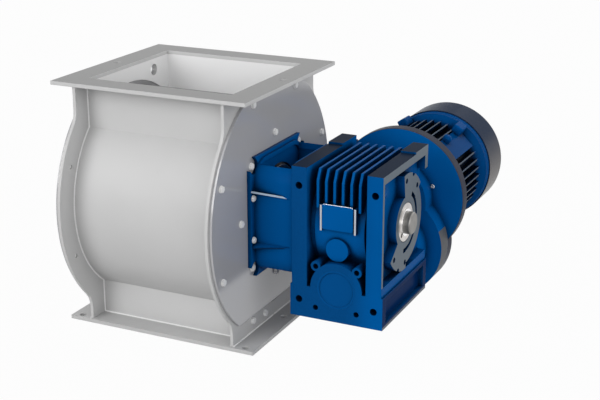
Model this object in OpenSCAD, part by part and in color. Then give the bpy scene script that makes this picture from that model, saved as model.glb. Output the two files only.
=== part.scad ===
// Rotary airlock valve: a welded drum casing with an eight-vane rotor, driven through a
// lantern by a worm gearbox, a spur pre-stage and a finned flange motor.
// X is the rotor axis, +X towards the drive. Y runs from the inspection side to the motor.
// The origin is the middle of the outlet flange's lower face.

/* [Casing] */
// Height over both flanges
valve_h = 400; // [390:1:420]
// Free width between the two end plates
body_w = 252; // [240:1:270]
// Height from the drum sheet's crown to the flanges
crown = 20.5; // [18:0.5:24]
// Thickness of the drum and throat sheet
sheet_t = 4; // [3:0.5:5]
// Thickness of both connection flanges
flange_t = 6; // [5:0.5:8]
// Thickness of the welded end plates
end_plate_t = 5; // [4:0.5:8]
// Inlet flange size along the rotor axis
inlet_w = 336; // [332:1:344]
// Inlet flange size across the rotor axis
inlet_d = 315; // [312:1:330]
// Inlet opening across the rotor axis
inlet_open = 236; // [220:1:240]
// Outlet flange size along the rotor axis
outlet_w = 334; // [332:1:344]
// Outlet flange size across the rotor axis
outlet_d = 285; // [284:1:300]
// Outlet opening across the rotor axis
outlet_open = 202; // [190:1:206]
// How far the round end plates stand out past the flange faces
plate_rim = 10; // [9:0.5:14]
// Step from the flange edges in to the end plates
shoulder_step = 4; // [2:0.5:6]
// Radius that blends the end plates into their shoulders
blend_r = 40; // [30:1:50]
// Radius of the flange bolt holes
flange_hole_r = 5.5; // [4.5:0.1:6.5]
// Distance between flange holes along the rotor axis
flange_hole_x = 300; // [298:1:304]
// Distance between outlet flange holes across the rotor axis
outlet_hole_y = 266; // [262:1:268]

/* [End covers] */
// Edge of the end plates left free round the covers
cover_edge = 4; // [3:0.5:6]
// Thickness of the end covers
cover_t = 5; // [4:0.5:10]
// Height of the cover's lower flat above the outlet face
cover_flat_z = 36; // [34:1:40]
// Gap between the cover's upper flat and the inlet flange
cover_top_gap = 2; // [1:0.5:4]
// Thickness of the wear plates inside the covers
wear_t = 3; // [2:0.5:4]
// Distance of the outer bolts from the covers' edge
bolt_edge = 16; // [14:0.5:18]
// Radius of the inner cover bolt circle
wear_bolt_r = 116; // [114:0.5:118]
// Radius of the vent port through the tail end
vent_r = 9.5; // [8:0.5:10]
// Radius of the shaft seal
seal_r = 35; // [33:0.5:37]

/* [Rotor] */
// Number of vanes
vanes = 8; // [6:1:8]
// Thickness of a vane
vane_t = 6; // [5:0.5:8]
// Outer radius of the rotor hub
hub_r = 36; // [34:1:44]
// Gap between the vane tips and the bore
tip_gap = 0.3; // [0.3:0.1:1]
// Gap between the rotor and each wear plate
end_gap = 0.5; // [0.4:0.1:1]
// Thickness of the screwed tip strips
tip_t = 5; // [4:0.5:6]
// Radial height of the tip strips
tip_h = 27; // [24:1:32]
// Radius of the shaft inside the hub
shaft_r = 25; // [24:0.5:26]
// Radius of the bearing journals
journal_r = 20; // [19.5:0.5:20.5]
// Radius of the drive end of the shaft
drive_r = 17.5; // [17:0.5:18]

/* [Shaft bearings] */
// Outer radius of the rotor bearings
rb_ro = 40; // [39:0.5:41]
// Width of the rotor bearings
rb_w = 18; // [16:1:20]
// Outer radius of the bearing housings
bh_r = 48; // [47:0.5:49]
// Radius of the bearing housing flange
bh_flange_r = 62; // [61:0.5:64]
// Thickness of the bearing housing flange
bh_flange_t = 8; // [7:0.5:10]
// Thickness of the bearing caps
cap_t = 5; // [4:0.5:6]

/* [Lantern] */
// Distance from the cover to the gearbox
lantern_len = 74; // [71:1:80]
// Width of the square flange on each side of the cheeks
lantern_side = 13; // [12:0.5:16]
// Height of the square flange
lantern_h = 192; // [190:1:196]
// Thickness of the square flange
lantern_t = 6; // [5:0.5:8]
// Half width over both cheeks
cheek_y = 82; // [80:0.5:84]
// Half height of the cheeks
cheek_z = 90; // [84:0.5:91]
// Wall of the cheeks
lantern_wall = 7; // [6:0.5:9]

/* [Worm gearbox] */
// Centre distance between worm and wheel
centre_d = 90; // [90:0.5:91]
// Width along the rotor axis
gb_w = 146; // [146:1:150]
// Depth across the rotor axis
gb_d = 187; // [186:1:192]
// Height of the housing top above the rotor axis
gb_up = 96; // [95:1:98]
// Depth of the feet below the rotor axis
gb_down = 142; // [140:1:144]
// Thickness of the side frames
frame_t = 25; // [24:0.5:26]
// Width of the side frames' raised rim
rim_w = 12; // [11:0.5:13]
// Width of that rim on the inspection side
rim_front = 6; // [5:0.5:12]
// Outer radius of the hollow shaft
quill_r = 30; // [29.5:0.5:30.5]
// Radius of the worm tube
tube_r = 42; // [41:0.5:43]
// Outer radius of the worm bearings
wb_ro = 31; // [30:0.5:32]

/* [Pre-stage] */
// Radius of the round gear case
case_r = 88; // [86:1:90]
// Radius of the motor flange
disc_r = 111; // [108:1:114]
// Thickness of the motor flange
disc_t = 20; // [18:1:22]

/* [Motor] */
// Radius of the motor barrel
barrel_r = 74; // [73:0.5:76]
// Radius over the cooling fins
fin_r = 88; // [86:0.5:90]
// Number of fin places round the barrel
fin_n = 40; // [36:4:44]
// Length of the finned frame
frame_len = 164; // [160:1:170]
// Outer radius of the fan cowl
cowl_r = 97; // [94:0.5:98]
// Length of the fan cowl
cowl_len = 74; // [70:1:80]
// Sheet thickness of the fan cowl
cowl_t = 2; // [1.5:0.5:3]
// Radius of the motor shaft
motor_shaft_r = 12; // [11.5:0.5:12.5]

/* [Hidden] */
$fn = 72;

// Worm drive: wheel teeth, worm quotient and axial module (the worm has one start)
wheel_z = 30;
worm_q = 10;
worm_m = 2 * centre_d / (wheel_z + worm_q);
// Spur pre-stage: module, teeth on the motor and on the worm shaft
spur_m = 2;
pinion_z = 19;
gear_z = 58;
stage_d = spur_m * (pinion_z + gear_z) / 2;

casing_grey = "gainsboro";
plate_grey = "silver";
steel = "lightslategray";
cast_blue = [0.0, 0.3, 0.55];
zinc = "whitesmoke";
bronze = "goldenrod";

// Radial clearance of a bolt in its hole
hole_gap = 0.3;
// Radial clearance of pieces that are pushed together
fit_gap = 0.05;
// Clearance between a moving piece and a fixed one beside it
run_gap = 0.4;

// Bolt sizes: thread radius, head width across flats, head height
m4 = [2, 7, 2.8];
m5 = [2.5, 8, 3.5];
m6 = [3, 10, 4];
m8 = [4, 13, 5.3];

// Radii of the casing round the rotor axis, which lies halfway up
axis_z = valve_h / 2;
sheet_r = axis_z - flange_t - crown;
bore_r = sheet_r - sheet_t;
end_plate_r = axis_z + plate_rim;
cover_r = end_plate_r - cover_edge;
cover_bolt_r = cover_r - bolt_edge;
shoulder_top = inlet_d / 2 - shoulder_step;
shoulder_low = outlet_d / 2 - shoulder_step;

// Planes of the casing along X
plate_in = body_w / 2;
plate_out = plate_in + end_plate_t;
cover_out = plate_out + cover_t;
wear_in = plate_out - wear_t;
rotor_half = wear_in - end_gap;
inner_top = valve_h - flange_t;
tip_r = bore_r - tip_gap;

// Bearings stand in their housings behind a shoulder
bh_shoulder = 11;
bearing_in = cover_out + bh_shoulder;
bearing_out = bearing_in + rb_w;
bh_end = bearing_out;
cap_end = bh_end + cap_t;
key_w = 10;
key_h = 8;

// Planes of the gearbox along X and Y
gb_x0 = cover_out + lantern_len;
gb_x1 = gb_x0 + gb_w;
gb_x = (gb_x0 + gb_x1) / 2;
gb_half = gb_d / 2;
gb_top = axis_z + gb_up;
gb_low = axis_z - gb_down;
worm_z = axis_z - centre_d;
rail_h = 66;
foot_h = 51;
pocket = frame_t - rim_w;
wheel_pitch_r = worm_m * wheel_z / 2;
wheel_tip_r = wheel_pitch_r + worm_m;
wheel_root_r = wheel_pitch_r - 1.2 * worm_m;
worm_pitch_r = centre_d - wheel_pitch_r;
worm_tip_r = worm_pitch_r + worm_m;
worm_root_r = worm_pitch_r - 1.2 * worm_m;
worm_lead = PI * worm_m;
wheel_w = 26;
mesh_gap = 0.9;
chamber_r = wheel_tip_r + 4;
chamber_half = 34;
drum_half = 40;
drum_r = chamber_r + 6;
quill_half = gb_w / 2 + 1;
quill_end = gb_x + quill_half;
qb_ro = 47.5;
qb_w = 18;
qb_half = 39;
qs_r = 37.5;
qs_w = 10;
boss_d = 33.4;
wb_w = 16;
wb_in = 64;
worm_j_r = 15;

// Planes of the pre-stage and motor along Y
motor_z = worm_z + stage_d;
case_y0 = gb_half;
case_y1 = 132;
disc_y0 = 164;
disc_y1 = disc_y0 + disc_t;
gear_y0 = case_y1 + 7;
gear_w = 20;
frame_y1 = disc_y1 + frame_len;
shield_t = 16;
shield_y1 = frame_y1 + shield_t;
cowl_y0 = frame_y1 + 8;
cowl_y1 = cowl_y0 + cowl_len;
mb_ro = 26;
mb_w = 15;
stator_ri = 46;
stator_len = 96;
stator_y0 = disc_y1 + 32;

// ---------- shared shapes ----------

// Stands a flat outline on the X axis: its x runs along Y and its y along Z
module along_x(x0, len) {
    translate([x0, 0, 0]) rotate([90, 0, 90]) linear_extrude(len) children();
}

// Stands a flat outline on the Y axis: its x runs along X and its y along Z
module along_y(y0, len) {
    translate([0, y0 + len, 0]) rotate([90, 0, 0]) linear_extrude(len) children();
}

// A turned piece on the X axis, its points given as [radius, x]
module turned_x(points) {
    rotate([0, 90, 0]) rotate_extrude() polygon(points);
}

// A turned piece on the Y axis, its points given as [radius, y]
module turned_y(points) {
    rotate([-90, 0, 0]) rotate_extrude() polygon(points);
}

module ring(ro, ri) {
    difference() {
        circle(ro);
        circle(ri);
    }
}

// A hexagon head bolt along +Z with its seat at z = 0 and its thread below
module bolt(size, len) {
    cylinder(r = size[1] / sqrt(3), h = size[2], $fn = 6);
    translate([0, 0, -len]) cylinder(r = size[0], h = len + 0.5);
}

// Both ends of the casing carry the same piece, mirrored
module at_drive() {
    children();
}

module at_tail() {
    mirror([1, 0, 0]) children();
}

// Children repeated round a pitch circle on the X axis at height axis_z
module round_x(r, angles, x) {
    for (a = angles)
        translate([x, r * cos(a), axis_z + r * sin(a)]) rotate([0, 90, 0]) children();
}

// Inner ring and balls of a bearing along Z
module bearing_inner(ri, ro, w, n) {
    mid = (ri + ro) / 2;
    ball = (ro - ri) * 0.28;
    rotate_extrude() difference() {
        translate([ri, 0]) square([mid - 0.5 * ball - ri, w]);
        translate([mid, w / 2]) circle(ball + fit_gap);
    }
    for (i = [0 : n - 1])
        rotate([0, 0, i * 360 / n]) translate([mid, 0, w / 2]) sphere(ball, $fn = 24);
}

// Outer ring of the same bearing
module bearing_outer(ri, ro, w) {
    mid = (ri + ro) / 2;
    ball = (ro - ri) * 0.28;
    rotate_extrude() difference() {
        translate([mid + 0.5 * ball, 0]) square([ro - mid - 0.5 * ball, w]);
        translate([mid, w / 2]) circle(ball + run_gap);
    }
}

// ---------- casing ----------

cover_angles = [for (i = [0 : 7]) 22.5 + i * 45];
cover_bolt_min = cover_flat_z + 8;
function above_flat(a) = axis_z + cover_bolt_r * sin(a) > cover_bolt_min;
vent_angle = 67.5;
drive_bolt_angles = [for (a = cover_angles) if (above_flat(a)) a];
tail_bolt_angles = [for (a = drive_bolt_angles) if (a != vent_angle) a];
low_angles = [for (a = cover_angles) if (!above_flat(a)) a];
wear_angles = [for (i = [0 : 7]) i * 45];
earth_y = -30;
earth_z = 21;
cover_bolt_len = cover_t + end_plate_t + 1;

module drum_outline() {
    translate([0, axis_z]) difference() {
        union() {
            circle(sheet_r, $fn = 180);
            throat_block(inlet_open + 2 * sheet_t, inner_top - axis_z);
            mirror([0, 1]) throat_block(outlet_open + 2 * sheet_t, axis_z - flange_t);
        }
        circle(bore_r, $fn = 180);
        throat_block(inlet_open, inner_top - axis_z + 1);
        mirror([0, 1]) throat_block(outlet_open, axis_z);
    }
}

module throat_block(w, h) {
    translate([-w / 2, 0]) square([w, h]);
}

module drum_casing() {
    color(casing_grey) along_x(-plate_in, body_w) drum_outline();
}

module inlet_flange() {
    color(plate_grey) translate([0, 0, inner_top]) linear_extrude(flange_t) difference() {
        square([inlet_w, inlet_d], center = true);
        square([body_w, inlet_open], center = true);
        for (s = [-1, 1]) translate([s * flange_hole_x / 2, 0]) circle(flange_hole_r);
    }
}

module outlet_flange() {
    color(plate_grey) linear_extrude(flange_t) difference() {
        square([outlet_w, outlet_d], center = true);
        square([body_w, outlet_open], center = true);
        for (s = [-1, 1], t = [-1, 0, 1])
            translate([s * flange_hole_x / 2, t * outlet_hole_y / 2]) circle(flange_hole_r);
    }
}

// One shoulder: a column from the axis to a flange, blended into the round plate
module shoulder(half_w, h) {
    reach = end_plate_r + blend_r;
    rise = sqrt(reach * reach - pow(half_w + blend_r, 2));
    k = end_plate_r / reach;
    translate([-half_w, 0]) square([2 * half_w, h]);
    for (s = [0, 1]) mirror([s, 0]) difference() {
        polygon([[0, 0], [k * (half_w + blend_r), k * rise], [half_w + blend_r, rise],
            [half_w, rise], [0, rise]]);
        translate([half_w + blend_r, rise]) circle(blend_r);
    }
}

module end_plate_outline() {
    intersection() {
        union() {
            circle(end_plate_r, $fn = 180);
            shoulder(shoulder_top, inner_top - axis_z);
            mirror([0, 1]) shoulder(shoulder_low, axis_z - flange_t);
        }
        translate([-end_plate_r, flange_t - axis_z])
            square([2 * end_plate_r, inner_top - flange_t]);
    }
}

module end_plate(open_vent) {
    color(casing_grey) along_x(plate_in, end_plate_t) translate([0, axis_z]) difference() {
        end_plate_outline();
        circle(bore_r, $fn = 180);
        for (a = cover_angles)
            rotate(a) translate([cover_bolt_r, 0])
                circle(open_vent && a == vent_angle ? vent_r : m6[0] + hole_gap);
        translate([earth_y, earth_z - axis_z]) circle(m6[0] + hole_gap);
    }
}

module drive_end_plate() at_drive() end_plate(false);

module tail_end_plate() at_tail() end_plate(true);

module cover(angles, vent) {
    color(plate_grey) along_x(plate_out, cover_t) translate([0, axis_z]) difference() {
        intersection() {
            circle(cover_r, $fn = 180);
            translate([-cover_r, cover_flat_z - axis_z])
                square([2 * cover_r, inner_top - cover_top_gap - cover_flat_z]);
        }
        circle(seal_r);
        for (a = angles) rotate(a) translate([cover_bolt_r, 0]) circle(m6[0] + hole_gap);
        for (a = wear_angles) rotate(a) translate([wear_bolt_r, 0]) circle(m6[0] + hole_gap);
        for (a = housing_angles) rotate(a) translate([housing_bolt_r, 0]) circle(m6[0] + hole_gap);
        if (vent) rotate(vent_angle) translate([cover_bolt_r, 0]) circle(vent_r);
        else for (p = lantern_bolt_places) translate(p) circle(m5[0] + hole_gap);
    }
}

module drive_cover() at_drive() cover(drive_bolt_angles, false);

module tail_cover() at_tail() cover(tail_bolt_angles, true);

module wear_plates() {
    color(steel) for (s = [0, 1]) mirror([s, 0, 0])
        along_x(wear_in, wear_t) translate([0, axis_z]) difference() {
            circle(bore_r - 0.5, $fn = 180);
            circle(shaft_r + 1);
            for (a = wear_angles) rotate(a) translate([wear_bolt_r, 0]) circle(m6[0] + hole_gap);
        }
}

module cover_bolts() {
    color(zinc) {
        round_x(cover_bolt_r, drive_bolt_angles, cover_out) bolt(m6, cover_bolt_len);
        at_tail() round_x(cover_bolt_r, tail_bolt_angles, cover_out) bolt(m6, cover_bolt_len);
        for (s = [0, 1]) mirror([s, 0, 0])
            round_x(wear_bolt_r, wear_angles, cover_out) bolt(m6, cover_t + wear_t);
    }
}

module plate_screws() {
    color(zinc) for (s = [0, 1]) mirror([s, 0, 0]) {
        round_x(cover_bolt_r, low_angles, plate_out) bolt(m6, end_plate_t - 1);
        translate([plate_out, earth_y, earth_z]) rotate([0, 90, 0]) bolt(m6, end_plate_t - 1);
    }
}

module shaft_seals() {
    color("dimgray") translate([0, 0, axis_z]) for (s = [0, 1]) mirror([s, 0, 0])
        turned_x([[shaft_r + 0.3, plate_out], [seal_r - fit_gap, plate_out],
            [seal_r - fit_gap, cover_out], [shaft_r + 3, cover_out], [shaft_r + 3, plate_out + 3],
            [shaft_r + 0.3, plate_out + 3]]);
}

// ---------- shaft bearings ----------

housing_angles = [45, 135, 225, 315];
housing_bolt_r = (bh_r + bh_flange_r) / 2;
cap_angles = [0, 90, 180, 270];
cap_bolt_r = (bh_r + rb_ro) / 2;

module bearing_housing() {
    color(steel) translate([0, 0, axis_z]) difference() {
        turned_x([[shaft_r + 1, cover_out], [bh_flange_r, cover_out],
            [bh_flange_r, cover_out + bh_flange_t], [bh_r, cover_out + bh_flange_t],
            [bh_r, bh_end], [rb_ro, bh_end], [rb_ro, bearing_in],
            [shaft_r + 1, bearing_in]]);
        for (a = housing_angles) rotate([a, 0, 0])
            translate([cover_out - 1, housing_bolt_r, 0]) rotate([0, 90, 0])
                cylinder(r = m6[0] + hole_gap, h = bh_flange_t + 2);
        for (a = cap_angles) rotate([a, 0, 0])
            translate([bh_end - 10, cap_bolt_r, 0]) rotate([0, 90, 0])
                cylinder(r = m4[0] + 0.1, h = 11);
    }
}

module drive_bearing_housing() at_drive() bearing_housing();

module tail_bearing_housing() at_tail() bearing_housing();

module housing_bolts() {
    color(zinc) for (s = [0, 1]) mirror([s, 0, 0])
        round_x(housing_bolt_r, housing_angles, cover_out + bh_flange_t)
            bolt(m6, bh_flange_t + cover_t - 1);
}

module bearing_cap(shaft_hole) {
    color(steel) along_x(bh_end, cap_t) translate([0, axis_z]) difference() {
        circle(bh_r);
        if (shaft_hole > 0) circle(shaft_hole);
        for (a = cap_angles) rotate(a) translate([cap_bolt_r, 0]) circle(m4[0] + 0.2);
    }
}

module drive_bearing_cap() at_drive() bearing_cap(drive_r + 1.5);

module tail_bearing_cap() at_tail() bearing_cap(0);

module cap_screws() {
    color(zinc) for (s = [0, 1]) mirror([s, 0, 0])
        round_x(cap_bolt_r, cap_angles, cap_end) bolt(m4, cap_t + 8);
}

module rotor_bearing_outer() {
    color(steel) for (s = [0, 1]) mirror([s, 0, 0])
        translate([bearing_in, 0, axis_z]) rotate([0, 90, 0])
            bearing_outer(journal_r, rb_ro - fit_gap, rb_w);
}

module rotor_bearing_inner() {
    color(steel) for (s = [0, 1]) mirror([s, 0, 0])
        translate([bearing_in, 0, axis_z]) rotate([0, 90, 0])
            bearing_inner(journal_r + fit_gap, rb_ro - fit_gap, rb_w, 9);
}

// ---------- rotor ----------

tip_screw_r = tip_r - tip_h + 8;
tip_screw_x = [-0.35, 0, 0.35];

module vane_holes(r, h) {
    for (i = [0 : vanes - 1], k = tip_screw_x)
        rotate([i * 360 / vanes, 0, 0])
            translate([k * body_w, tip_screw_r, -vane_t / 2 - 1]) cylinder(r = r, h = h, $fn = 24);
}

module rotor_vanes() {
    color(steel) translate([0, 0, axis_z]) difference() {
        along_x(-rotor_half, 2 * rotor_half) difference() {
            union() {
                circle(hub_r);
                for (i = [0 : vanes - 1]) rotate(i * 360 / vanes)
                    translate([hub_r - 2, -vane_t / 2]) square([tip_r - 10 - hub_r, vane_t]);
            }
            circle(shaft_r + fit_gap);
        }
        vane_holes(m5[0] + 0.2, vane_t + 2);
    }
}

module vane_tips() {
    color("dimgray") translate([0, 0, axis_z]) difference() {
        along_x(-rotor_half, 2 * rotor_half) for (i = [0 : vanes - 1]) rotate(i * 360 / vanes)
            intersection() {
                translate([tip_r - tip_h, vane_t / 2]) square([tip_h + 2, tip_t]);
                circle(tip_r, $fn = 180);
            }
        vane_holes(m5[0] + 0.2, vane_t + tip_t + 2);
    }
}

module tip_screws() {
    color(zinc) translate([0, 0, axis_z])
        for (i = [0 : vanes - 1], k = tip_screw_x) rotate([i * 360 / vanes, 0, 0])
            translate([k * body_w, tip_screw_r, vane_t / 2 + tip_t]) bolt(m5, vane_t + tip_t);
}

shaft_end = quill_end + 12.5;
clip_h = 1.2;
clip_w = 2;

module rotor_shaft() {
    color("silver") translate([0, 0, axis_z]) difference() {
        turned_x([[0, -bearing_out], [journal_r, -bearing_out], [journal_r, -bearing_in],
            [shaft_r, -bearing_in], [shaft_r, bearing_in], [journal_r, bearing_in],
            [journal_r, bearing_out], [drive_r, bearing_out], [drive_r, shaft_end - 1.5],
            [drive_r - 1.5, shaft_end], [0, shaft_end]]);
        translate([gb_x0 + 8, -key_w / 2, drive_r - key_h / 2 - 0.5])
            cube([gb_w - 9, key_w, key_h]);
        turned_x([[drive_r - clip_h, quill_end], [drive_r + 2, quill_end],
            [drive_r + 2, quill_end + clip_w], [drive_r - clip_h, quill_end + clip_w]]);
    }
}

module shaft_key() {
    color("silver") translate([gb_x0 + 8.2, -key_w / 2 + 0.05, axis_z + drive_r - key_h / 2 - 0.45])
        cube([gb_w - 10, key_w - 0.1, key_h - 0.2]);
}

module shaft_circlip() {
    color("dimgray") translate([0, 0, axis_z])
        turned_x([[drive_r - clip_h + fit_gap, quill_end + 0.1], [drive_r + 3.5, quill_end + 0.1],
            [drive_r + 3.5, quill_end + clip_w - 0.1],
            [drive_r - clip_h + fit_gap, quill_end + clip_w - 0.1]]);
}

// ---------- lantern ----------

lantern_slot_w = 24;
lantern_w = 2 * (cheek_y + lantern_side);
lantern_bolt_places = [for (s = [-1, 1], t = [-1, 1]) [s * (lantern_w / 2 - 7.5), t * 33.5]];
cheek_corner_r = 32;
bell_out = gb_x0;
bell_end_t = 10;
bell_hole_r = quill_r + 13.5;
pilot_r = 72;
lantern_screw_r = 60;
screw_angles = [for (i = [0 : 7]) 22.5 + i * 45];
window_half = cheek_y - 12;
window_x0 = cover_out + lantern_t + 3;
window_x1 = bell_out - bell_end_t - 1;
gusset_angle = 26;
gusset_h = 12;
gusset_t = 3;

// Upright rectangle with round corners, given by its half sizes
module cheek_outline(half_y, half_z, r) {
    square([2 * half_y, 2 * (half_z - r)], center = true);
    square([2 * (half_y - r), 2 * half_z], center = true);
    for (s = [-1, 1], t = [-1, 1]) translate([s * (half_y - r), t * (half_z - r)]) circle(r);
}

module cheek_inside() {
    cheek_outline(cheek_y - lantern_wall, cheek_z - lantern_wall, cheek_corner_r - lantern_wall);
}

module lantern_flange_outline() {
    difference() {
        square([lantern_w, lantern_h], center = true);
        circle(bh_flange_r + 4);
        for (a = [45, 135, 225, 315]) rotate(a) {
            translate([wear_bolt_r, 0]) circle(lantern_slot_w / 2);
            translate([wear_bolt_r, -lantern_slot_w / 2]) square([60, lantern_slot_w]);
        }
        for (p = lantern_bolt_places) translate(p) circle(m5[0] + hole_gap);
    }
}

// Thin rib from the square flange to the far end of a cheek
module gusset() {
    x0 = cover_out + lantern_t - 1;
    x1 = bell_out - bell_end_t;
    r0 = cheek_y / cos(gusset_angle);
    translate([0, 0, -gusset_t / 2]) linear_extrude(gusset_t)
        polygon([[x0, r0 - 2], [x0, r0 + gusset_h], [x0 + 1, r0 + gusset_h], [x1, r0],
            [x1, r0 - 2]]);
}

// Two cheeks between a square flange and a round end plate, open above and below
module lantern() {
    color(cast_blue) translate([0, 0, axis_z]) {
        along_x(cover_out, lantern_t) lantern_flange_outline();
        difference() {
            union() {
                along_x(cover_out + lantern_t - 0.5, lantern_len - lantern_t - 1)
                    cheek_outline(cheek_y, cheek_z, cheek_corner_r);
                for (s = [0, 1], a = [-gusset_angle, gusset_angle])
                    mirror([0, s, 0]) rotate([a, 0, 0]) gusset();
                along_x(bell_out - 2, 1) circle(pilot_r);
            }
            along_x(cover_out + lantern_t - 1, lantern_len - lantern_t - bell_end_t + 1)
                cheek_inside();
            along_x(cover_out, lantern_len) circle(bell_hole_r);
            translate([window_x0, -window_half, -cheek_z - 1])
                cube([window_x1 - window_x0, 2 * window_half, 2 * cheek_z + 2]);
            for (a = screw_angles) rotate([a, 0, 0])
                translate([bell_out - bell_end_t - 1, lantern_screw_r, 0]) rotate([0, 90, 0])
                    cylinder(r = m8[0] + hole_gap, h = bell_end_t + 2);
        }
    }
}

module lantern_bolts() {
    color(zinc) for (p = lantern_bolt_places)
        translate([cover_out + lantern_t, p[0], axis_z + p[1]]) rotate([0, 90, 0])
            bolt(m5, lantern_t + cover_t - 1);
}

module lantern_screws() {
    color(zinc) translate([0, 0, axis_z]) for (a = screw_angles) rotate([a, 0, 0])
        translate([bell_out - bell_end_t, lantern_screw_r, 0]) rotate([0, -90, 0])
            bolt(m8, bell_end_t + 10);
}

// ---------- worm gearbox ----------

fin_count = 6;
fin_pitch = 13.5;
fin_t = 4;
fin_y = gb_half - 8;
fin_low = axis_z + 34;
fin_knee = axis_z + 76;
fin_top = gb_top - 3;
neck_r = 66;
in_spigot_r = 73;
in_flange_r = 82.5;
out_boss_r = qs_r + 3.5;
crescent_r = 67;
lobe_r = 76;
lobe_hole_r = 65;
lobe_hole_angles = [45, 90, -90, -135];
in_screw_r = 76.5;
in_screw_angles = [for (i = [0 : 7]) i * 45];
post_hole_x = gb_w / 2 - 12;
post_hole_z = [gb_low + 28, gb_top - 29];
tapped_r = 4.25;
foot_step = 2.6;
pad_h = 3;
pad_y = 40;
front_wall = 24;
plug_places = [[-14, 21], [14, 21]];
post_hole_r = 5.5;
post_boss_r = 10;
post_hole_len = 18;
stub_h = 34;

module frame_plate(x0) {
    translate([x0, -gb_half, gb_low]) cube([frame_t, gb_d, gb_top - gb_low]);
    translate([x0, pad_y, gb_top - 1]) cube([frame_t, gb_half - pad_y, pad_h + 1]);
}

// Recess of the drive-side frame: the rear post has its rim at the top and bottom only
module frame_recess() {
    bottom = gb_low + rail_h;
    difference() {
        union() {
            translate([gb_x1 - pocket, -gb_half + rim_front, bottom])
                cube([pocket + 1, gb_d - rim_front - rim_w, gb_top - rim_w - bottom]);
            translate([gb_x1 - pocket, gb_half - rim_w - 1, bottom])
                cube([pocket + 1, rim_w + 2, gb_top - stub_h - bottom]);
        }
        translate([gb_x + post_hole_x, 0, post_hole_z[1]])
            along_y(-gb_half, post_hole_len + 3) circle(post_boss_r);
    }
}

module pie(from, to) {
    steps = 12;
    polygon(concat([[0, 0]], [for (i = [0 : steps])
        let (a = from + (to - from) * i / steps) [2 * lobe_r * cos(a), 2 * lobe_r * sin(a)]]));
}

module ring_part(ro, ri, from, to) {
    intersection() {
        ring(ro, ri);
        pie(from, to);
    }
}

// Crescent flange round the drive end, with a pair of lobes above and below
module crescent_outline() {
    difference() {
        union() {
            circle(out_boss_r);
            ring_part(crescent_r, qb_ro, -140, 95);
            ring_part(lobe_r, out_boss_r - 1, 38, 98);
            ring_part(lobe_r, out_boss_r - 1, -143, -87);
        }
        for (a = lobe_hole_angles) rotate(a) translate([lobe_hole_r, 0]) circle(tapped_r);
        ring_part(qb_ro + 1, out_boss_r + 0.5, 38, 60);
        ring_part(qb_ro + 1, out_boss_r + 0.5, -100, -87);
        for (a = [67.5, -112.5]) rotate(a) translate([lobe_r, 0]) circle(5);
    }
}

module fins() {
    for (i = [0 : fin_count - 1])
        along_x(gb_x + (i - (fin_count - 1) / 2) * fin_pitch - fin_t / 2, fin_t)
            polygon([[-fin_y, fin_low], [-fin_y, fin_knee], [-fin_y + 8.5, fin_top],
                [fin_y - 8.5, fin_top], [fin_y, fin_knee], [fin_y, fin_low]]);
}

module at_worm(dx, dz) {
    translate([gb_x + dx, 0, worm_z + dz]) children();
}

// Outer form of the casting, before it is hollowed
module housing_form() {
    frame_plate(gb_x0);
    difference() {
        frame_plate(gb_x1 - frame_t);
        frame_recess();
    }
    translate([0, 0, axis_z]) {
        along_x(gb_x - drum_half, 2 * drum_half) circle(drum_r);
        along_x(gb_x, drum_half + 9) circle(neck_r);
        along_x(gb_x1 - pocket - 1, pocket + 2) crescent_outline();
        along_x(gb_x - drum_half - 9, drum_half) circle(in_spigot_r + 6);
    }
    at_worm(0, 0) along_y(-gb_half, gb_d) circle(tube_r);
    translate([gb_x0 - foot_step, -gb_half, gb_low])
        cube([gb_w + 2 * foot_step, gb_d, foot_h]);
    for (s = [-1, 1], t = [-1, 1])
        at_worm(s * boss_d, t * boss_d) along_y(-gb_half, 40) circle(8);
    fins();
    // pad for the oil plugs, and on the other side two ribs over a round boss
    translate([gb_x - 26, gb_half - 36.5, axis_z + 5]) cube([52, 30, 32]);
    for (s = [-1, 1]) translate([gb_x + s * 27.5 - 1.5, -gb_half + 5, axis_z]) cube([3, 30, 40]);
    translate([gb_x - 2, 0, axis_z - 29]) along_y(-gb_half + 7.5, 26) circle(18);
}

module gearbox_housing() {
    color(cast_blue) difference() {
        housing_form();
        // wheel chamber, the seats on the drive side and the bore for the side cover
        translate([0, 0, axis_z]) {
            along_x(gb_x - chamber_half, 2 * chamber_half) circle(chamber_r);
            along_x(gb_x, qb_half + qb_w) circle(qb_ro);
            along_x(gb_x, qb_half + qb_w + qs_w) circle(qs_r);
            along_x(gb_x, gb_w) circle(quill_r + 1);
            along_x(gb_x0 - 1, gb_w / 2) circle(in_spigot_r);
            along_x(gb_x0 - 1, pocket + 1) circle(in_flange_r + 0.5);
        }
        at_worm(0, 0) along_y(-gb_half - 1, gb_d + 2) circle(wb_ro);
        // underside and both flanks of the foot
        translate([gb_x0 + frame_t, -gb_half + front_wall, gb_low - 1])
            cube([gb_w - 2 * frame_t, gb_d - 2 * front_wall, 8]);
        for (s = [-1, 1])
            translate([gb_x + s * (gb_w / 2 + foot_step - 4) - 4, -gb_half + 13, gb_low + 8])
                cube([8, gb_d - 26, foot_h - 15]);
        for (s = [-1, 1], z = post_hole_z)
            translate([gb_x + s * post_hole_x, 0, z])
                along_y(-gb_half - 1, post_hole_len + 1) circle(post_hole_r);
        for (s = [-1, 1], t = [-1, 1])
            at_worm(s * boss_d, t * boss_d) along_y(-gb_half - 1, 17) circle(tapped_r);
        for (p = plug_places)
            translate([gb_x + p[0], 0, axis_z + p[1]]) along_y(gb_half - 22, 30) circle(6.2);
        for (a = in_screw_angles) translate([0, 0, axis_z]) rotate([a, 0, 0])
            translate([gb_x0, in_screw_r, 0]) rotate([0, 90, 0])
                cylinder(r = m5[0] + 0.1, h = frame_t - 0.5);
        for (a = stage_screw_angles)
            at_worm(stage_screw_r * cos(a), stage_screw_r * sin(a))
                along_y(gb_half - 16, 20) circle(m6[0] + 0.1);
    }
}

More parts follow.
